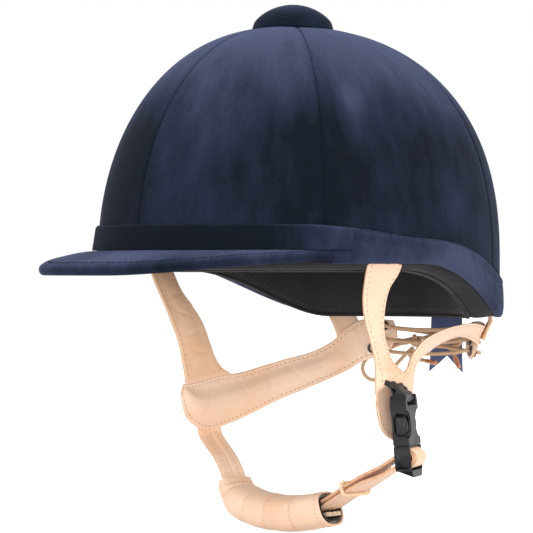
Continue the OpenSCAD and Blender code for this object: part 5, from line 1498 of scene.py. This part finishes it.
def cup_ring(off, draw=1.0, swell=0.0):
    """Rounded-oblong sections along the cup: powers 0.78 of cosine and sine, drawn in at each sewn channel.

    Between the channels they swell by a power of half a sine. Towards the mouth each section slants by a
    smooth step, so that its upper and near sides go furthest.
    """
    P, s = CUP_PATH, CUP_ALONG[:, None]
    A, N = strap_frames(P, CUP_ACROSS)
    x = np.linspace(0, len(CUP_W) - 1, len(P))
    w, h = (np.interp(x, range(len(CUP_W)), share)[:, None] for share in (CUP_W, CUP_H))
    drawn = sum(bump(s - c, 0.014) for c in CHANNELS) * draw
    between = np.abs(np.sin(np.pi * (s - CHANNELS[0]) / 0.215)) ** 0.6 * ((s > 0.1) & (s < 0.8))
    t = turns_of(CUP_COLS, 0.5)[None]
    change = off - 0.85 * drawn + swell * between + 0.12 * np.sin(t * 9 + 5 * s) * drawn
    power = lambda v: np.sign(v) * np.abs(v) ** 0.78
    x, z = (CUP_HW * w + change) * power(np.cos(t)), (CUP_HH * h + change) * power(np.sin(t))
    S = P[:, None] + A[:, None] * x[..., None] + N[:, None] * z[..., None]
    slant = ease((s - 0.62) / 0.38) * (-0.42 * x * np.sign(A[0, 1]) - 0.2 * z * np.sign(N[0, 2]))
    return S + unit(np.gradient(P, axis=0))[:, None] * slant[..., None]


def cup_layer(name, node, look, slot, outer, inner, short=0):
    """Open tube inside the cup: outer rings forwards then inner rings back, so that its wall is closed."""
    i = slice(15, len(outer) - short)
    return solid(name, np.concatenate([outer[i], inner[i][::-1]]), look, ring=True, stands_for=[node],
                 slot=slot, fold=50)


def chin_cup():
    """Leather cover with a rolled lip at its mouth, padding and lining in it, and its stitching."""
    outer, inner = cup_ring(-0.15, swell=0.35), cup_ring(-1.3)
    lip = (outer[-1] + inner[-1]) / 2 + (outer[-1] - outer[-2]) * 0.35
    solid("cup_leather_cover", np.concatenate([outer, lip[None], inner[::-1]]), LEATHER, ring=True,
          stands_for=["cup_leather"], slot="leather", fold=50)
    cup_layer("cup_padding_foam", "cup_padding", PAD_FOAM, "foam_pad", cup_ring(-1.4),
                        cup_ring(-2.65, draw=0.0), short=4)
    cup_layer("cup_lining_cloth", "cup_lining", BLACK_CLOTH, "black_cloth", cup_ring(-2.8, draw=0.0),
              cup_ring(-3.4, draw=0.0))
    lines = []
    for place in (*CHANNELS, *CUP_HEMS):
        i = int(np.argmin(np.abs(CUP_ALONG - place)))
        line = np.vstack([outer[i], outer[i][:1]])
        lines.append((line, unit(line - CUP_PATH[i])))
    seam = outer[4:-3, round(CUP_COLS * 0.78)]
    lines.append((seam, unit(seam - CUP_PATH[4:-3])))
    stitches("cup_stitches", lines, THREAD, pitch=2.8, share=0.62, d=0.48, sink=0.03, slot="leather")


chin_cup()


TAPE_FROM, TAPE_LONG, TAPE_WIDE = 14.0, 16.6, 11.0
TAPE_Z, TAPE_TILT = -146.1, np.tan(np.radians(11))


def hook_tab():
    """Beige closing tape at the cup's mouth, thick and ragged where its pile opens at the end.

    It rises with the cup's slope. Its edges wander by products of sines, and its pile is a product of sines
    that grows by a smooth step towards the end.
    """
    u = np.linspace(0, 1, 40)[:, None]
    q = np.linspace(0, 1, 16)[None]
    rag = 0.35 * np.sin(u * 61) * np.abs(np.sin(u * 23 + 1))
    x = TAPE_FROM + TAPE_LONG * u + 0.55 * np.sin(q * 23) * np.sin(q * 9 + 1) * (u > 0.94)
    y = -12 + TAPE_WIDE * q + rag * (q < 0.08) - rag * (q > 0.92)
    z = TAPE_Z + (x - TAPE_FROM) * TAPE_TILT
    pile = 0.3 * np.sin(x * 3.1) * np.sin(y * 2.7 + x)
    pile = pile + ease((u - 0.35) / 0.4) * (1.0 + 0.3 * np.sin(x * 2.3 + 1) * np.sin(y * 1.9))
    top, low = (np.stack(together(x, y, height), -1) for height in (z + 1.35 + pile, z + 0.12))
    solid("hook_tape_tab", np.concatenate([top, low[:, ::-1]], 1), HOOK_TAPE, stands_for=["cup_hook_tab"],
          slot="hook_tape", fold=60)


hook_tab()


# Middle of the keeper, and a point of the strap's middle on each side of it
KEEPER_AT, KEEPER_SIDES = np.array([51.0, -10.8, -125.75]), ([40, -9.3, -131.2], [62, -12, -120.35])


def keeper():
    """Cord-like leather loop round both layers of the strap, with the short end of its knot.

    The loop is a rounded oblong: powers 0.32 of the cosine and the sine.
    """
    go = unit(np.subtract(KEEPER_SIDES[1], KEEPER_SIDES[0]))
    across = strap_across_at(KEEPER_AT[None])[0]
    a = unit(across - (across @ go) * go)
    n = np.cross(go, a)
    wide, high = STRAP_W / 2 + 1.2, STRAP_T / 2 + 2.77
    t = turns_of(72, 0.5)
    power = lambda v: (np.sign(v) * np.abs(v) ** 0.32)[:, None]
    path = KEEPER_AT + a * wide * power(np.cos(t)) + n * high * power(np.sin(t))
    path = evenly(np.vstack([path, path[:1]]), 0.8)[:-1]
    T = unit(np.roll(path, -1, 0) - np.roll(path, 1, 0))
    N = np.tile(go, (len(path), 1))
    solid("keeper_leather", round_sections(path, N, np.cross(T, N), 1.1, 0.95, 14), LEATHER_RAW, ring=True,
          body="keeper", stands_for=["keeper_loop"], slot="pale_leather", fold=80)
    corner = KEEPER_AT - a * wide * 0.8 - n * high * np.sign(n[0]) * 0.9
    tail = smooth_path([corner - go * 0.6, corner + go * 1.6 - a * 1.2, corner + go * 4.2 - a * 2.6], 8)
    tail = evenly(tail, 0.5)
    solid("keeper_leather_end", tube_sections(tail, end_radii(tail, 0.95), 12), LEATHER_RAW, body="keeper",
          slot="pale_leather", fold=80)


keeper()


WEB_BAR_Z, WEB_R, WEB_W, WEB_T = 26.0, 2.85, 15.0, 1.3
WEB_RIB_PITCH = 2.6


def buckle_webbing():
    """Ribbed webbing round the socket's bar. A rib is half a sine to the power 0.7, laid as a chevron."""
    low = in_buckle(0, -1.2, 30.6)
    P = [[81.7, -14.4, -62], [82.6, -14.4, -65.5], low,
         *round_bar(0, WEB_BAR_Z, (WEB_R, WEB_R), np.arange(60, -181, -20)),
         in_buckle(0, -3.6, 29), [84.2, -15, -68.4], [81.6, -14.6, -66.6], [80.3, -14.4, -64.5],
         [80.2, -14.4, -62]]
    Q = evenly(smooth_path(P, 6), 0.3)
    turned = np.clip((-63.5 - Q[:, 2:]) / (-63.5 - low[2]), 0, 1)
    A = mix(np.array([[0, 1.0, 0]]), BUCKLE_ACROSS[None], turned)
    ribs = lambda s, q: 0.75 * np.abs(np.sin(np.pi * (s + 2.2 * np.abs(q)) / WEB_RIB_PITCH)) ** 0.7 - 0.4
    flat_strap("buckle_webbing_loop", Q, A, WEB_W, WEB_T, [WEBBING, WEBBING], ribs, cols=33,
               stands_for=["buckle_webbing"], slot="webbing")


buckle_webbing()


def rounded_block(centre, radii):
    """Ball stretched to the three radii, in the buckle's frame."""
    made = bmesh.new()
    bmesh.ops.create_icosphere(made, subdivisions=4, radius=1.0)
    mesh = bpy.data.meshes.new("rounded_block")
    made.to_mesh(mesh)
    made.free()
    place = np.zeros(3 * len(mesh.vertices))
    mesh.vertices.foreach_get("co", place)
    P = np.array(centre) + place.reshape(-1, 3) * radii
    mesh.vertices.foreach_set("co", (in_buckle(*P.T) * MM).ravel())
    return mesh


def carve(mesh, tools):
    """Cuts shapes out of a mesh, or adds them to it."""
    piece = bpy.data.objects.new("carved", mesh)
    bpy.context.scene.collection.objects.link(piece)
    used = []
    for how, shape in tools:
        tool = bpy.data.objects.new("tool", shape)
        bpy.context.scene.collection.objects.link(tool)
        step = piece.modifiers.new("step", "BOOLEAN")
        step.operation, step.object, step.solver = how, tool, "EXACT"
        used.append(tool)
    bpy.context.view_layer.update()
    made = bpy.data.meshes.new_from_object(piece.evaluated_get(bpy.context.evaluated_depsgraph_get()))
    for thing in (piece, *used):
        bpy.data.objects.remove(thing)
    return made


PLUG_FOOT, FOOT_SLOPE = -14.2, 1.9 / 4.5


def sloped_foot(mesh):
    """Slants the plug's foot, so that it is lowest at the outer face: a rise in line with the depth."""
    place = np.zeros(3 * len(mesh.vertices))
    mesh.vertices.foreach_get("co", place)
    q = place.reshape(-1, 3) / MM - BUCKLE_POS
    foot = (q @ BUCKLE_UP < PLUG_FOOT)[:, None]
    q = q + foot * BUCKLE_UP * (0.5 - FOOT_SLOPE * (q @ BUCKLE_OUT))[:, None]
    mesh.vertices.foreach_set("co", ((q + BUCKLE_POS) * MM).ravel())


# Angles under which a moulded face is smooth, and over which an edge is rounded
SMOOTH_UNDER, ROUNDED_OVER = np.radians(34), np.radians(32)


def softened(node, body, width, tools=(), reshape=None):
    """Copy of a moulded part of the buckle, cut or joined with the tools, with edges rounded by the width."""
    name = node + "_body"
    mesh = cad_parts[node].data.copy()
    if reshape:
        reshape(mesh)
    if tools:
        mesh = carve(mesh, tools)
    mesh.name = name
    made = bmesh.new()
    made.from_mesh(mesh)
    bmesh.ops.remove_doubles(made, verts=made.verts, dist=1e-6)
    bmesh.ops.dissolve_limit(made, angle_limit=np.radians(1.0), verts=made.verts, edges=made.edges)
    made.to_mesh(mesh)
    made.free()
    mesh.materials.clear()
    mesh.materials.append(BUCKLE)
    mesh.shade_smooth()
    mesh.set_sharp_from_angle(angle=SMOOTH_UNDER)
    rounding = placed(name, mesh, body, [node]).modifiers.new("rounding", "BEVEL")
    rounding.width, rounding.segments, rounding.limit_method = width * MM, 3, "ANGLE"
    rounding.angle_limit = ROUNDED_OVER


# The socket is open at its corners, where the rounded thumb pads of the prongs stand
softened("buckle_socket", "hat", width=0.35,
         tools=[("DIFFERENCE", rounded_block((s * 10.6, 4.6, 11.5), (6.3, 4.4, 7.6))) for s in (1, -1)])
softened("buckle_plug", "plug", width=0.4, reshape=sloped_foot)
for s, prong in ((1, "prong_front"), (-1, "prong_rear")):
    softened(prong, prong, width=0.3,
             tools=[("UNION", rounded_block((s * 8.0, 1.1, 11.2), (2.15, 2.6, 5.3)))])


# Ribbon at the nape

BOW_Z = -(NAPE_DROP - BAND_H / 2)
BOW_HALF, KNOT_HALF = 7.5, 5.0
TAIL_HALF, TAIL_END, TAIL_NOTCH, TAIL_T = 13.5, -67.0, 10.0, 0.6


def bow_pt(a, z, d):
    """Point at angle a from the nape and height z, d out from the band's face."""
    a, z, o = together(a, z, BAND_T + 0.2 + d)
    r = np.radians(180 + a)
    return np.stack([(HALF_W + o) * np.sin(r), -(HALF_L + o) * np.cos(r), z], -1)


def ribbon_piece(name, node, top, low, fold=50):
    """Closed strip of ribbon between its two faces."""
    return solid(name, np.concatenate([top, low[:, ::-1]], 1), RIBBON, slot="ribbon", stands_for=[node],
                 fold=fold)


def ribbon_bow():
    """Two flat loops that gather into the knot, and the band round their middle.

    A loop puffs by a power of half a sine of the way along it, and its pleats are a cosine across it that
    dies out from the knot. The knot's band is rounded off towards its edges by a cube.
    """
    t = np.linspace(0, 1, 44)[:, None]
    q = np.linspace(-1, 1, 25)[None]
    for s, side in ((1, "left"), (-1, "right")):
        a = s * mix(2.5, 19.0, t)
        z = BOW_Z + q * BOW_HALF * mix(0.6, 1, ease(t * 2))
        puff = (1.1 + 2.0 * np.sin(np.pi * t) ** 0.8) * (1 - 0.3 * q * q)
        pleat = 0.35 * np.cos(q * 11) * (1 - t) ** 1.6
        ribbon_piece(f"ribbon_bow_{side}", "ribbon_bow", bow_pt(a, z, 0.2 + puff + pleat), bow_pt(a, z, 0.2))
    a = np.linspace(-2.4, 2.4, 25)[:, None]
    q = np.linspace(-1, 1, 21)[None]
    z = BOW_Z + q * KNOT_HALF
    out = 3.2 - 0.9 * np.abs(q) ** 3 - 0.06 * a * a + 0.22 * np.cos(a * 3.2)
    ribbon_piece("ribbon_knot_band", "ribbon_knot", bow_pt(a, z, out), bow_pt(a, z, 0.2))


ribbon_bow()


def ribbon_tail():
    """Swallow-tailed end, nearly flat: a cosine's roll across it and a sine's wave, both growing down it."""
    z0 = BOW_Z - 7.8
    q = np.linspace(-1, 1, 41)[:, None]
    t = np.linspace(0, 1, 34)[None]
    z = mix(z0, TAIL_END + TAIL_NOTCH * (1 - np.abs(q)), t)
    x = -4 + q * mix(TAIL_HALF - 1.5, TAIL_HALF, np.clip((z0 - z) / (z0 - TAIL_END), 0, 1))
    y = HALF_L + BAND_T + 0.9 + 0.9 * np.cos(q * 2.2 + 0.3) * t + 0.5 * np.sin(t * 5 + q) * t
    front, back = (np.stack(together(x, y + f * TAIL_T / 2, z), -1) for f in (1, -1))
    made = ribbon_piece("ribbon_tail_cloth", "ribbon_tail", front, back, fold=60)


ribbon_tail()


# Finishes of the solids that stay as they are

for kept, look in (("shell", SHELL_LOOK), ("peak_board", SHELL_LOOK), ("foam_liner", FOAM_LOOK),
                   ("button_core", WOOD_LOOK), ("button_washer", STEEL), ("harness_rivets", STEEL),
                   ("peak_rivets", STEEL), ("eyelets", EYELET_LOOK), ("aglets", AGLET_LOOK)):
    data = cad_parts[kept].data
    data.materials.clear()
    data.materials.append(look)


# Floor, background and lamps

FLOOR_Z, FLOOR_HALF = -0.158, 6.0
FLOOR_GLOW, WORLD_LIGHT = 0.62, 0.74


def lamp(name, at, aim, size, watts):
    """Round lamp of the given width, aimed at a point."""
    data = bpy.data.lights.new(name, "AREA")
    data.shape, data.size, data.energy = "DISK", size, watts
    made = bpy.data.objects.new(name, data)
    bpy.context.scene.collection.objects.link(made)
    made.location = at
    made.rotation_mode = "QUATERNION"
    made.rotation_quaternion = (Vector(aim) - Vector(at)).to_track_quat("-Z", "Y")


def studio():
    """White floor and background, a broad lamp overhead, a softer one at each side, and one in front.

    The camera and glossy surfaces see the floor glow and the world at full white, and all else sees less.
    """
    mesh = bpy.data.meshes.new("floor")
    corners = [(x * FLOOR_HALF, y * FLOOR_HALF, FLOOR_Z) for x, y in ((-1, -1), (1, -1), (1, 1), (-1, 1))]
    mesh.from_pydata(corners, [], [(0, 1, 2, 3)])
    floor = bpy.data.objects.new("floor", mesh)
    bpy.context.scene.collection.objects.link(floor)
    k = Look("studio_floor")
    k.set(Base_Color=(0.9, 0.9, 0.9, 1), Roughness=0.9, Specular_IOR_Level=0.1, Emission_Color=(1, 1, 1, 1))
    path = k.node("ShaderNodeLightPath")
    seen = k.maths("ADD", path.outputs["Is Camera Ray"], path.outputs["Is Glossy Ray"])
    k.join(k.maths("MULTIPLY", k.maths("MINIMUM", seen, 1.0), FLOOR_GLOW), "Emission Strength")
    mesh.materials.append(k.made)

    world = bpy.data.worlds.new("studio")
    bpy.context.scene.world = world
    world.use_nodes = True
    tree = world.node_tree
    back = tree.nodes["Background"]
    path = tree.nodes.new("ShaderNodeLightPath")
    seen = tree.nodes.new("ShaderNodeMath")
    seen.operation = "MAXIMUM"
    tree.links.new(path.outputs["Is Camera Ray"], seen.inputs[0])
    tree.links.new(path.outputs["Is Glossy Ray"], seen.inputs[1])
    power = tree.nodes.new("ShaderNodeMapRange")
    power.inputs["To Min"].default_value = WORLD_LIGHT
    tree.links.new(seen.outputs[0], power.inputs["Value"])
    tree.links.new(power.outputs[0], back.inputs["Strength"])
    back.inputs["Color"].default_value = (1, 1, 1, 1)

    lamp("overhead_lamp", at=(0.3, -0.3, 1.5), aim=(0, 0, 0), size=1.2, watts=11)
    lamp("left_lamp", at=(-0.7, -1.4, 0.4), aim=(0, 0, -0.03), size=0.9, watts=9)
    lamp("right_lamp", at=(1.5, 0.5, 0.7), aim=(0, 0, 0), size=0.9, watts=7)
    lamp("front_lamp", at=(2.5, -2.3, -0.05), aim=(0, 0, -0.08), size=1.8, watts=78)


studio()
bpy.context.scene.view_settings.view_transform = "Standard"

bpy.context.view_layer.update()
